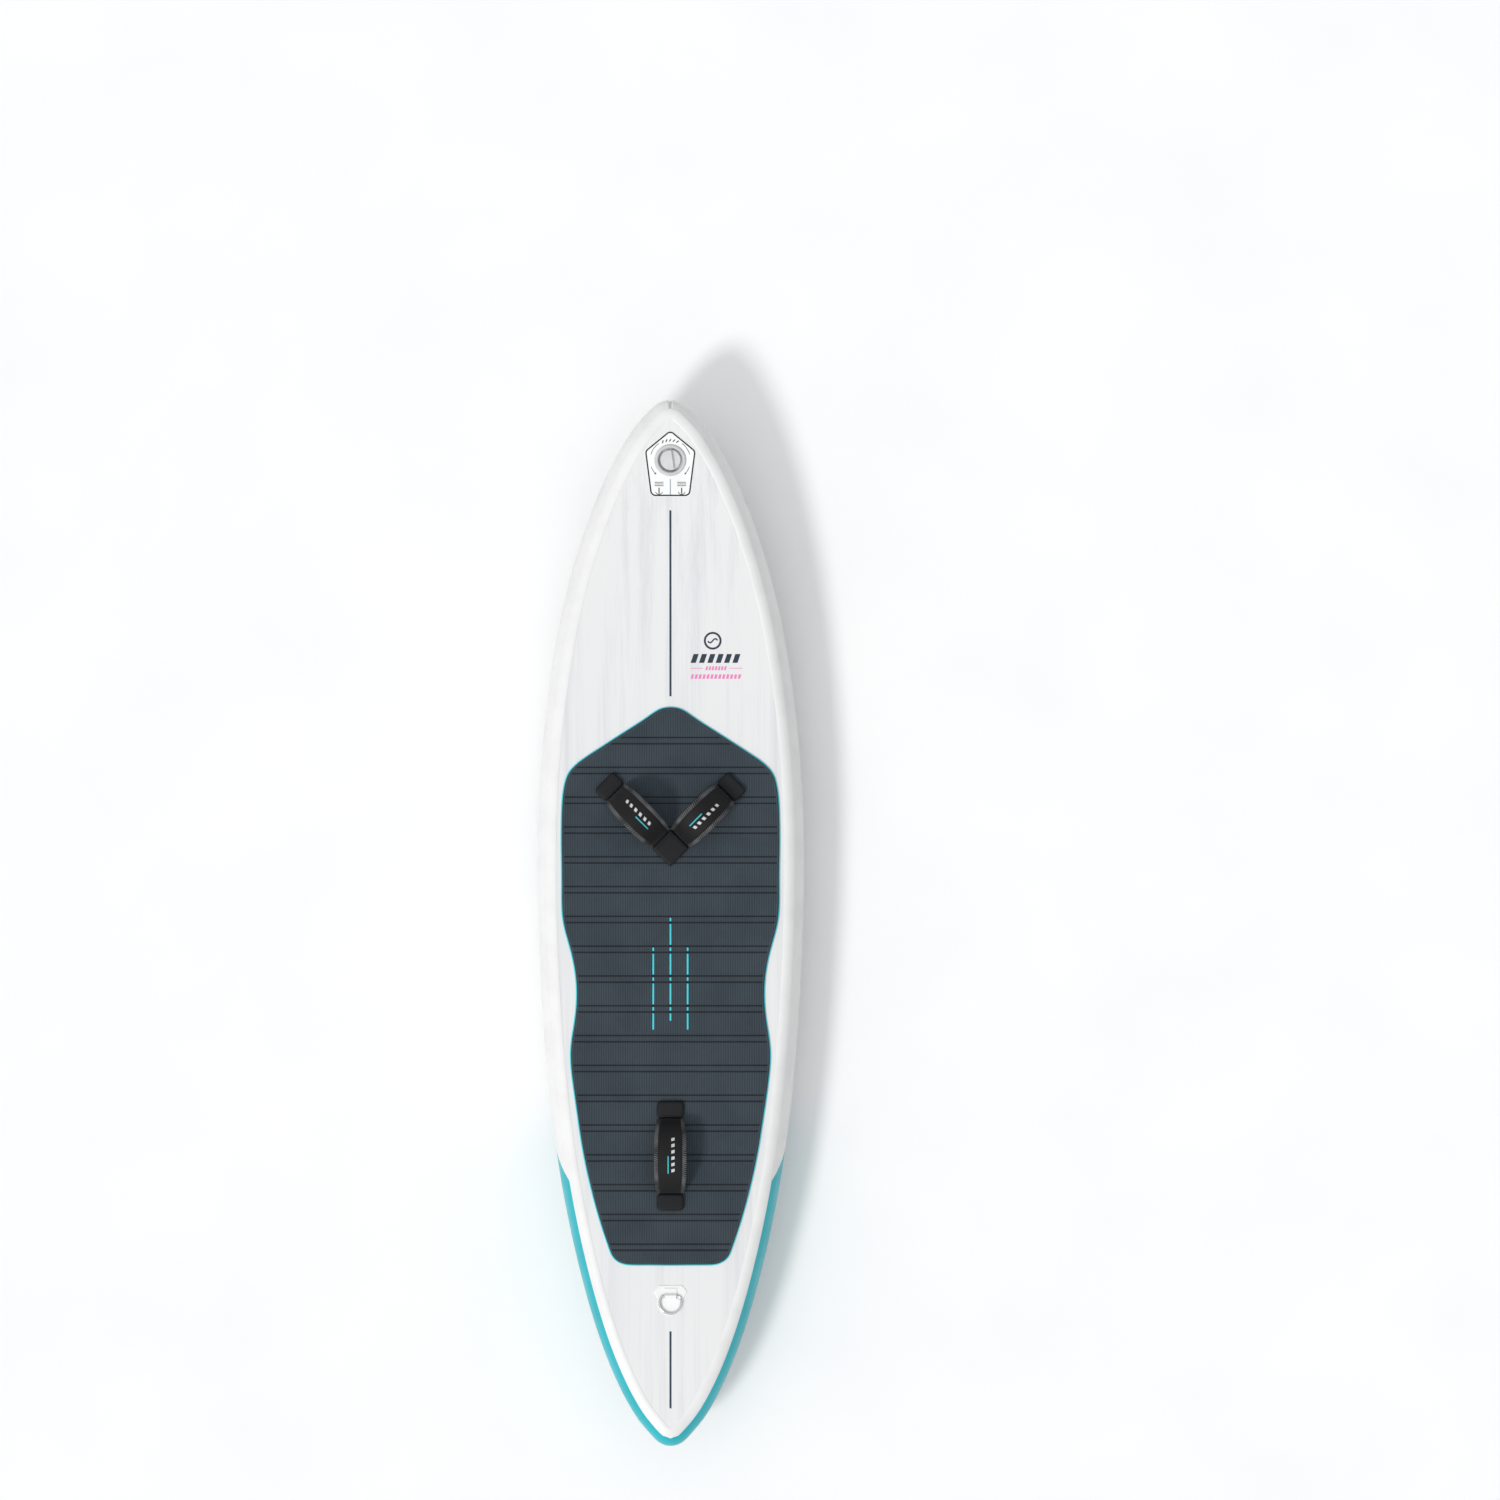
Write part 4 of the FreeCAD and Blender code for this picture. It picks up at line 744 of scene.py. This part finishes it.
def make_pad():
    outline = Outline(outer_rim("deck_pad_base"), 1400)
    base_section = [(0.0, 0.15), (0.0, 1.5), (0.25, 1.85), (0.7, 2.0), (7.0, 2.0), (7.0, 0.15)]
    rings = [pad_ring(outline, inset * MM, height * MM) for inset, height in base_section]
    base = new_piece("deck_pad_base_edge", *band(rings), "pad_base_foam", ["deck_pad_base"])
    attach(base, "board")

    rim = 2.4 * MM
    low = BASE_HIGH + 0.02 * MM
    edge_section = [(0.0, low), (0.0, TOP_HIGH - 2.0 * MM), (0.5 * MM, TOP_HIGH - 1.1 * MM)]
    edge_section += [(1.4 * MM, TOP_HIGH - 0.4 * MM), (2.8 * MM, TOP_HIGH - 0.05 * MM)]
    edge_section += [(3.6 * MM, TOP_HIGH - 0.1 * MM), (4.4 * MM, TOP_HIGH - 0.7 * MM), (4.4 * MM, low)]
    shapes = Pieces()
    shapes.add(*band([pad_ring(outline, rim + inset, height) for inset, height in edge_section]))
    shapes.add(*pad_field(outline, rim + 3.2 * MM, low))
    top = new_piece(
        "deck_pad_ribbed_top", shapes.points, shapes.faces, "pad_foam", ["deck_pad_top"], sharp=28.0
    )
    places = np.array(shapes.points)
    # how deep each point lies below the pad's top, as a share of the groove depth; pad_foam paints shade into
    # the grooves and rib valleys by it
    depth = (TOP_HIGH - places[:, 2] + deck_z(places[:, 1])) / GROOVE_DEPTH
    attribute = top.data.attributes.new("pad_depth", "FLOAT", "POINT")
    attribute.data.foreach_set("value", np.clip(depth, 0.0, 1.0).astype(np.float32))
    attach(top, "board")
    make_inlays()


def pad_field(outline, inset, low):
    """The ribbed field inside the pad's edge: a top of rows and columns, closed underneath."""
    rib_pitch, rib_depth, inlay_depth = 3.5 * MM, 0.9 * MM, 1.9 * MM
    wall, near = 0.15 * MM, 0.001 * MM
    ribs = int(225 * MM / rib_pitch)
    columns = []
    for k in range(-ribs, ribs + 1):
        columns += [(k * rib_pitch, -rib_depth), ((k + 0.28) * rib_pitch, 0.0), ((k + 0.72) * rib_pitch, 0.0)]
    half_inlay = INLAY_WIDTH / 2
    for x, y1, y0 in INLAYS:
        columns += [(x + side * (half_inlay + shift), 0.0) for side in (-1, 1) for shift in (0.0, wall)]
    columns.sort()
    xs = np.array([x for x, depth in columns])
    depths = np.array([depth for x, depth in columns])

    ring = outline.offset(-inset)
    tail, nose = ring[:, 1].min(), ring[:, 1].max()
    half_groove = GROOVE_WIDTH / 2
    rows = {tail, nose}
    for y in GROOVES:
        rows.update((y - half_groove - wall, y - half_groove, y + half_groove, y + half_groove + wall))
    for x, y1, y0 in INLAYS:
        rows.update((y0, y0 - wall, y1, y1 + wall))
    for y in np.arange(tail, nose, 22 * MM):
        rows.add(float(y))
    for end, reach, step in ((nose, 135 * MM, 4 * MM), (tail, 50 * MM, 2.5 * MM)):
        for distance in np.arange(0.4 * MM, reach, step):
            rows.add(float(end - distance if end > 0 else end + distance))
    ys = [y for y in sorted(rows) if tail <= y <= nose]
    ys = [ys[0]] + [b for a, b in zip(ys, ys[1:]) if b - a > 0.1 * MM]

    points, rings = [], []
    widths = outline.half_width(np.array(ys), -inset)
    for y, half, deck in zip(ys, widths, deck_z(np.array(ys))):
        in_groove = any(abs(y - groove) <= half_groove + near for groove in GROOVES)
        edge = deck + TOP_HIGH - (GROOVE_DEPTH if in_groove else 0.0)
        left, right = len(points), len(points) + 1
        points += [(-half, y, edge), (half, y, edge)]
        ring = [left]
        for x, depth in zip(xs, depths):
            if abs(x) >= half - 0.3 * MM:
                ring.append(left if x < 0 else right)
                continue
            depth = min(depth, -GROOVE_DEPTH) if in_groove else depth
            for middle, y1, y0 in INLAYS:
                if abs(x - middle) <= half_inlay + near and y0 - near <= y <= y1 + near:
                    depth = -inlay_depth
            ring.append(len(points))
            points.append((x, y, deck + TOP_HIGH + depth))
        rings.append(ring + [right, len(points) + 1, len(points)])
        points += [(-half, y, deck + low), (half, y, deck + low)]
    faces = [tuple(dict.fromkeys(ring)) for ring in (rings[0], rings[-1])]
    for lower, upper in zip(rings, rings[1:]):
        for j, k in zip(range(len(lower)), [*range(1, len(lower)), 0]):
            corners = tuple(dict.fromkeys((lower[j], lower[k], upper[k], upper[j])))
            if len(corners) > 2:
                faces.append(corners)
    return points, faces


def make_inlays():
    """Cyan foam let into the pad, cut off at each groove."""
    bars = Pieces()
    gap = GROOVE_WIDTH / 2 + 1.2 * MM
    for x, y1, y0 in INLAYS:
        crossed = [groove for groove in GROOVES if y0 < groove < y1]
        ends = [y0, *(groove + side * gap for groove in crossed for side in (-1, 1)), y1]
        for start, end in zip(ends[::2], ends[1::2]):
            length = end - start
            if length < 3 * MM:
                continue
            rings = []
            for inset, depth in ((0.0, 1.95), (0.0, 0.75), (0.3, 0.5), (0.9, 0.4)):
                width, inset = INLAY_WIDTH - 0.3 * MM, inset * MM
                ring = rounded_rectangle(width - 2 * inset, length - 2 * inset, 0.8 * MM - 0.5 * inset, 3)
                ring = ring + (x, (start + end) / 2)
                rings.append(np.column_stack([ring, np.full(len(ring), PAD_TOP_FLAT - depth * MM)]))
            bars.add(*mound(rings))
    piece = new_piece("deck_pad_inlays", bars.points, bars.faces, "pad_base_foam")
    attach(piece, "board")


# ---------------------------------------------------------------- foot straps


def swell(piece, held, pressure, cap):
    """Puff up a closed piece with a short cloth simulation, and keep how far each point may go."""
    scene = bpy.context.scene
    group = piece.vertex_groups.new(name="held")
    group.add([int(i) for i in held], 1.0, "REPLACE")
    cloth = piece.modifiers.new("swell", "CLOTH")
    settings = cloth.settings
    settings.vertex_group_mass = "held"
    settings.use_pressure = True
    settings.uniform_pressure_force = pressure
    settings.effector_weights.gravity = 0.0
    settings.mass = 0.2
    settings.quality = 6
    settings.tension_stiffness = settings.compression_stiffness = 30.0
    settings.bending_stiffness = 0.5
    cloth.collision_settings.use_collision = False
    last_frame = 20
    cloth.point_cache.frame_start = 1
    cloth.point_cache.frame_end = last_frame
    for step in range(1, last_frame + 1):
        scene.frame_set(step)
    settled = piece.evaluated_get(bpy.context.evaluated_depsgraph_get())
    before = points_of(piece.data)
    move = points_of(settled.data) - before
    length = np.linalg.norm(move, axis=1)
    move *= (np.minimum(length, cap) / np.maximum(length, 1e-9))[:, None]
    piece.modifiers.remove(cloth)
    piece.vertex_groups.remove(group)
    scene.frame_set(1)
    piece.data.vertices.foreach_set("co", (before + move).ravel().astype(np.float32))
    piece.data.update()


class Strap:
    """A foot strap's arch, measured on its CAD cover and joint."""

    thickness = 7.0 * MM
    end_half_width = 27.0 * MM

    def __init__(self, name):
        self.name = name
        self.body = name + "_strap"
        lean = joint(self.body + "_lean")
        self.middle = np.array(lean["pos_m"])
        self.along = np.array(lean["axis"])
        self.along = self.along / np.linalg.norm(self.along)
        self.across = np.cross((0, 0, 1), self.along)
        points = node_points(name + "_strap_cover") - self.middle
        self.half_span = np.abs(points @ self.along).max() + 0.1 * MM
        self.half_width = np.abs(points @ self.across).max()
        self.wide = self.half_span - self.thickness / 2
        self.tall = points[:, 2].max() - self.thickness / 2

    def stations(self, count):
        """Angles round the arch that are evenly spaced along it, and their distances."""
        fine = np.linspace(0, math.pi, 800)
        line = np.column_stack([self.wide * np.cos(fine), self.tall * np.sin(fine)])
        distance = np.concatenate([[0], np.cumsum(np.linalg.norm(np.diff(line, axis=0), axis=1))])
        at = np.linspace(0, distance[-1], count)
        return np.interp(at, distance, fine), at - distance[-1] / 2

    def point(self, angle, across, proud):
        """A place on the arch: across is a share of the half width, proud is from its mid surface."""
        place = np.array([self.wide * math.cos(angle), self.tall * math.sin(angle)])
        normal = np.array([self.tall * math.cos(angle), self.wide * math.sin(angle)])
        s, height = place + normal / np.linalg.norm(normal) * proud
        share = abs(place[0]) / self.half_span
        half = self.end_half_width + (self.half_width - self.end_half_width) * (1 - share**3)
        return self.middle + self.along * s + self.across * (across * half) + (0, 0, height)


PANEL_EDGE, STITCH_LINE = 0.66, 0.70


def strap_section(thick):
    """The cover's section as (share across, height from the mid surface, face): 1 is the outside."""
    crown = 0.7 * MM
    panel, groove = PANEL_EDGE, STITCH_LINE
    upper = [(-1.0, 0.0), (-0.992, 0.22), (-0.975, 0.34), (-0.93, 0.40), (-0.82, 0.42)]
    upper = [(v, level * thick) for v, level in upper]
    upper += [(-groove - 0.015, 0.36 * thick), (-groove, 0.27 * thick), (-groove + 0.015, 0.36 * thick)]
    for v in (-panel, -0.6, -0.5, -0.3, -0.1):
        upper.append((v, 0.46 * thick + crown * (1 - (v / panel) ** 2)))
    upper += [(-v, level) for v, level in upper[::-1]]
    under = [(0.992, -0.25 * thick), (0.95, -0.42 * thick), (0.8, -0.48 * thick), (0.4, -0.5 * thick)]
    under += [(-v, level) for v, level in under[::-1]]
    return [(v, level, 1.0) for v, level in upper] + [(v, level, 0.0) for v, level in under]


def make_strap(name):
    strap = Strap(name)
    count = 73
    angles, distances = strap.stations(count)
    section = strap_section(strap.thickness)
    points, places = [], []
    for angle, distance in zip(angles, distances):
        for across, level, face in section:
            points.append(strap.point(angle, across, level))
            places.append((distance, across, face))
    width = len(section)
    faces = grid_faces(count, width, False, True)
    faces.append(tuple(range(width))[::-1])
    faces.append(tuple(range((count - 1) * width, count * width)))
    nodes = [name + "_strap_cover"]
    cover = new_piece(name + "_strap_padded_cover", points, faces, "strap_neoprene", nodes, sharp=60.0)
    attribute = cover.data.attributes.new("strap_place", "FLOAT_VECTOR", "POINT")
    attribute.data.foreach_set("vector", np.array(places, np.float32).ravel())
    held = []
    for i, (distance, across, face) in enumerate(places):
        at_end = abs(distance) > distances[-1] - 8 * MM
        if at_end or abs(across) > PANEL_EDGE or face < 0.5:
            held.append(i)
    swell(cover, held, 4.0, 1.6 * MM)
    smooth = cover.modifiers.new("smooth", "SUBSURF")
    smooth.levels = smooth.render_levels = 1
    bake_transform(cover)

    stitches = Pieces()
    length, gap, thread = 3.0 * MM, 4.4 * MM, 0.35 * MM
    total = distances[-1] - distances[0]
    for side in (-1, 1):
        for k in range(int(total / gap) - 2):
            start = distances[0] + (k + 1.2) * gap
            rings = []
            for share, radius in ((0.0, 0.3), (0.15, 1.0), (0.85, 1.0), (1.0, 0.3)):
                angle = np.interp(start + share * length, distances, angles)
                centre = strap.point(angle, side * STITCH_LINE, 0.30 * strap.thickness)
                up = strap.point(angle, side * STITCH_LINE, strap.thickness) - centre
                up /= np.linalg.norm(up)
                ring = []
                for x, y in arc(0, 0, thread * radius, 0, 300, 6):
                    ring.append(centre + strap.across * x + up * y)
                rings.append(ring)
            stitches.add(*mound(rings))
    stitching = name + "_strap_stitching"
    seams = new_piece(stitching, stitches.points, stitches.faces, "strap_neoprene", material=THREAD)
    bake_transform(seams)
    return strap


def cap_shape(centre, turn, length, width, corner, height, welts):
    """A soft rubber cap over a strap's end: a low cushion form with thin raised welts across it."""
    shapes = Pieces()
    cos, sin = math.cos(turn), math.sin(turn)
    welt_width = 1.6 * MM

    def put(ring, z):
        x = centre[0] + ring[:, 0] * cos - ring[:, 1] * sin
        y = centre[1] + ring[:, 0] * sin + ring[:, 1] * cos
        return np.column_stack([x, y, np.full(len(ring), centre[2] + z)])

    profile = [(0.5, 0.0), (0.0, 0.12), (0.0, 0.62), (0.5, 0.8)]
    profile += [(1.5, 0.92), (3.2, 0.985), (6.0, 1.0), (11.0, 1.03)]
    rings = []
    for inset, level in profile:
        inset *= MM
        radius = max(corner - 0.6 * inset, 1.5 * MM)
        ring = rounded_rectangle(length - 2 * inset, width - 2 * inset, radius, 8)
        rings.append(put(ring, level * height))
    shapes.add(*mound(rings))
    for place, along_width in welts:
        size = (welt_width, width - 6 * MM) if along_width else (length - 6 * MM, welt_width)
        shift = (place, 0.0) if along_width else (0.0, place)
        rings = []
        for inset, level in ((0.0, 0.9), (0.1, 1.035), (0.5, 1.07)):
            reach = 2 * inset * MM
            ring = rounded_rectangle(size[0] - reach, size[1] - reach, 0.25 * MM, 3)
            rings.append(put(ring + shift, level * height))
        shapes.add(*mound(rings))
    return shapes


def make_caps(straps):
    rear = next(strap for strap in straps if strap.name == "rear")
    gap = 1.0 * MM
    low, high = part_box("rear_strap_tabs")
    tab_length = (high.y - low.y) / 2 - rear.half_span - gap
    tab_width = high.x - low.x
    height, corner = high.z - low.z, 8 * MM
    groups = {"front_strap_tabs": Pieces(), "rear_strap_tabs": Pieces()}
    for strap in straps:
        ends = (-1, 1) if strap is rear else (1,)
        group = groups["rear_strap_tabs" if strap is rear else "front_strap_tabs"]
        for end in ends:
            centre = strap.middle + strap.along * end * (strap.half_span + gap + tab_length / 2)
            centre[2] = low.z
            turn = math.atan2(end * strap.along[1], end * strap.along[0])
            welts = [(-tab_length / 2 + 5 * MM, True)]
            shape = cap_shape(centre, turn, tab_length, tab_width, corner, height, welts)
            group.add(shape.points, shape.faces)
    for node, group in groups.items():
        piece = new_piece(node + "_caps", group.points, group.faces, "strap_neoprene", [node], TAB_RUBBER)
        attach(piece, "board")
    low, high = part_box("front_strap_block")
    centre = ((low.x + high.x) / 2, (low.y + high.y) / 2, low.z)
    welts = [(tab_width / 2 - 9 * MM, True), (tab_width / 2 - 9 * MM, False)]
    shape = cap_shape(centre, math.radians(45), tab_width, tab_width, 4 * MM, height, welts)
    nodes = ["front_strap_block"]
    name = "front_strap_shared_cap"
    piece = new_piece(name, shape.points, shape.faces, "strap_neoprene", nodes, TAB_RUBBER)
    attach(piece, "board")


# ---------------------------------------------------------------- valve and leash point


def make_valve_spring():
    """The coil round the valve's pin, made as one fixed mesh at its rest length."""
    press = joint("valve_pin_press")
    centre, up = np.array(joint("valve_cap_turn")["pos_m"]), -np.array(press["axis"])
    forward = np.cross(up, (1.0, 0.0, 0.0))
    places = node_points("valve_spring") - centre
    heights = places @ up
    low, high = heights.min(), heights.max()
    wire, turns, steps, sides = 0.4 * MM, 5, 24, 8
    radius = np.abs(places[:, 0]).max() - wire
    rings = []
    for share in np.linspace(0, 1, turns * steps + 1):
        angle = share * turns * 2 * math.pi
        outward = np.array((math.cos(angle), 0, 0)) + forward * math.sin(angle)
        middle = centre + outward * radius + up * (low + wire + (high - low - 2 * wire) * share)
        rings.append([middle + wire * (outward * x + up * y) for x, y in arc(0, 0, 1, 0, 315, sides)])
    coil = new_piece("valve_coil_spring", *mound(rings), "stainless", ["valve_spring"])
    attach(coil, "board")
    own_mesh(coil)


def make_label_prints():
    outline = Outline(outer_rim("valve_label"), 400, smooth=False)
    on_label = surface_of("valve_label")
    x, y = joint("valve_cap_turn")["pos_m"][:2]
    marks = Print(on_label)
    marks.ribbon(outline.offset(-2.4 * MM), 3.0 * MM, closed=True)
    radius, thin = 41 * MM, 1.2 * MM
    for hand in (-1, 1):
        for start, end in ((16, 55), (-40, -19)):
            marks.ribbon(arc(0, 0, radius, start, end) * (hand, 1) + (x, y), thin)
        tip, head = arc(0, 0, radius, -46, -40, 2) * (hand, 1) + (x, y)
        forward = (tip - head) / np.linalg.norm(tip - head)
        sideways = np.array([-forward[1], forward[0]])
        marks.fill([head + sideways * 2.2 * MM, head - sideways * 2.2 * MM, tip])
        # a small picture of a valve
        px, py = x + hand * 23 * MM, y - 62 * MM
        marks.ribbon(arc(px, py, 7.5 * MM, 200, 340, 20), 1.3 * MM)
        marks.line(px, py - 6 * MM, px, py + 6 * MM, 2.2 * MM, 4)
        for level in (45, 48.5, 52):
            marks.line(px - 9 * MM, y - level * MM, px + 9 * MM, y - level * MM, 1.3 * MM, 4)
    for start, end in zip(arc(x, y, 37.5 * MM, 71, 115, 5), arc(x, y, 42.5 * MM, 66, 110, 5)):
        marks.line(*start, *end, 2.2 * MM, 4)
    marks.make("valve_label_marks", BLACK, "label_film")
    divider = Print(on_label)
    divider.line(x, y - 39 * MM, x, y - 70 * MM, 2.0 * MM, 8)
    divider.make("valve_label_divider", GREY, "label_film")


def make_leash_patch():
    outline = Outline(outer_rim("leash_patch_base"), 240, smooth=False)
    low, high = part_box("leash_patch_base")
    thick = high.z - low.z
    # a rounded edge, then a shallow welded groove inside it
    profile = [(0.0, 0.0), (0.0, 0.5), (0.35, 0.85), (1.0, 1.0)]
    profile += [(3.4, 1.0), (3.9, 0.72), (4.5, 0.72), (5.0, 1.0)]
    rings = []
    for inset, level in profile:
        ring = outline.offset(-inset * MM)
        rings.append(np.column_stack([ring, np.full(len(ring), low.z + level * thick)]))
    base = new_piece("leash_patch_sheet", *mound(rings), "patch_pvc", ["leash_patch_base"])
    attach(base, "board")

    bar = joint("leash_ring_swing")["pos_m"]
    box_low, box_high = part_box("leash_patch_cover")
    sheet = 1.4 * MM
    flat = high.z + sheet / 2 + 0.05 * MM
    reach = box_high.z - bar[2] - sheet / 2
    half = (box_high.x - box_low.x) / 2
    nose_end = box_high.y - bar[1]
    path = [(nose_end, flat), (nose_end - 4 * MM, flat)]
    path += [(8.5 * MM, flat + 0.1 * MM), (6.0 * MM, flat + 0.7 * MM)]
    for angle in np.radians(np.linspace(28, 152, 13)):
        path.append((reach * math.cos(angle), bar[2] + reach * math.sin(angle)))
    path += [(-4.4 * MM, flat + 0.7 * MM), (-6.2 * MM, flat + 0.1 * MM), (-8.0 * MM, flat)]
    path = np.array(path)
    along = np.concatenate([[0], np.cumsum(np.linalg.norm(np.diff(path, axis=0), axis=1))])
    slopes = np.gradient(path, along, axis=0)
    path = hermite(along, path, slopes, np.linspace(0, along[-1], 40))
    columns = np.linspace(-1, 1, 13)
    points = []
    for y, z in path:
        rise = (z - flat) / (bar[2] + reach - flat)
        for share in columns:
            flare = half * (1.12 - 0.12 * rise)
            points.append((share * flare, bar[1] + y, z))
    faces = grid_faces(len(path), len(columns))
    flap = new_piece("leash_patch_flap", points, faces, "patch_pvc", ["leash_patch_cover"])
    thicken = flap.modifiers.new("thickness", "SOLIDIFY")
    thicken.thickness = sheet
    thicken.offset = 0.0
    round_off = flap.modifiers.new("round edges", "BEVEL")
    round_off.width = 0.45 * MM
    round_off.segments = 2
    round_off.limit_method = "ANGLE"
    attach(flap, "board")


# ---------------------------------------------------------------- foil base marks


def make_plate_prints():
    marks = Print(surface_of("foil_plate", -1), -1)
    y = 58 * MM
    hexagon = arc(0, y, 22 * MM, 30, 330, 6)
    marks.ribbon(along_corners(hexagon, 6, closed=True), 2.0 * MM, closed=True)
    for level in (-8, 0, 8):
        wave = [(t * MM, y + level * MM + 2.4 * MM * math.sin(t / 3.2)) for t in np.linspace(-12, 12, 28)]
        marks.ribbon(wave, 1.8 * MM)
    rows, step = 9, 19 * MM
    for row in range(rows):
        top = -372 * MM - row * step
        for x in (-18 * MM, 6 * MM):
            low = top - 6 * MM
            zigzag = [(x - 6 * MM, low), (x, top), (x + 6 * MM, low), (x + 12 * MM, top)]
            marks.ribbon(along_corners(zigzag, 4), 1.1 * MM)
    for dot in range(9):
        start = -285 * MM - dot * 8 * MM
        marks.line(0, start, 0, start - 4 * MM, 1.6 * MM, 4)
    marks.make("foil_plate_marks", CYAN, "carbon")


# ---------------------------------------------------------------- build the pieces

make_seam_tapes()
make_deck_prints()
make_bottom_prints()
make_pad()
straps = [make_strap(name) for name in ("port_front", "starboard_front", "rear")]
make_caps(straps)
make_valve_spring()
make_label_prints()
make_leash_patch()
make_plate_prints()


# ---------------------------------------------------------------- floor, light and camera


def make_stage():
    size = 14.0
    mesh = bpy.data.meshes.new("floor")
    corners = [(-size, -size, 0), (size, -size, 0), (size, size, 0), (-size, size, 0)]
    mesh.from_pydata(corners, [], [(0, 1, 2, 3)])
    floor = bpy.data.objects.new("floor", mesh)
    floor.location.z = -1.0 * MM
    bpy.context.scene.collection.objects.link(floor)
    finish = Finish("floor_paper", srgb(252, 252, 252), 0.9)
    paper = finish.noise(finish.place(), 3.0, 2.0)
    finish.color(finish.mix(finish.ramp(paper, 0.3, 0.7), srgb(252, 252, 252), srgb(249, 249, 250)))
    mesh.materials.append(finish.material)


def make_light():
    world = bpy.data.worlds.new("studio")
    bpy.context.scene.world = world
    world.use_nodes = True
    nodes, links = world.node_tree.nodes, world.node_tree.links
    background = nodes["Background"]
    background.inputs["Color"].default_value = (0.97, 0.985, 1.0, 1.0)
    # a big soft box overhead, brighter on the port side and towards the tail
    place, upwards = nodes.new("ShaderNodeTexCoord"), nodes.new("ShaderNodeVectorMath")
    fade = nodes.new("ShaderNodeMapRange")
    upwards.operation = "DOT_PRODUCT"
    upwards.inputs[1].default_value = (-0.2, -0.1, 1.0)
    horizon, zenith = 0.26, 0.98
    fade.inputs["To Min"].default_value = horizon
    fade.inputs["To Max"].default_value = zenith
    links.new(place.outputs["Generated"], upwards.inputs[0])
    links.new(upwards.outputs["Value"], fade.inputs["Value"])
    links.new(fade.outputs[0], background.inputs["Strength"])
    sun = bpy.data.lights.new("key", "SUN")
    sun.energy = 1.3
    sun.angle = math.radians(11)
    sun.color = (1.0, 0.99, 0.97)
    key = bpy.data.objects.new("key", sun)
    towards = Vector((0.55, 0.55, -0.85))
    key.rotation_euler = towards.to_track_quat("-Z", "Y").to_euler()
    bpy.context.scene.collection.objects.link(key)
    bpy.context.scene.view_settings.view_transform = "Standard"


def make_camera():
    """Straight above, nose up, with the board left of and below the middle of the picture."""
    lens, sensor = 200.0, 36.0
    picture_width, picture_middle = 3.056, (0.162, 0.3545)
    camera = bpy.data.cameras.new("camera")
    camera.lens = lens
    camera.sensor_width = sensor
    camera.clip_end = 100.0
    eye = bpy.data.objects.new("camera", camera)
    eye.location = (*picture_middle, DECK + picture_width * lens / sensor)
    bpy.context.scene.collection.objects.link(eye)
    bpy.context.scene.camera = eye


make_stage()
make_light()
make_camera()
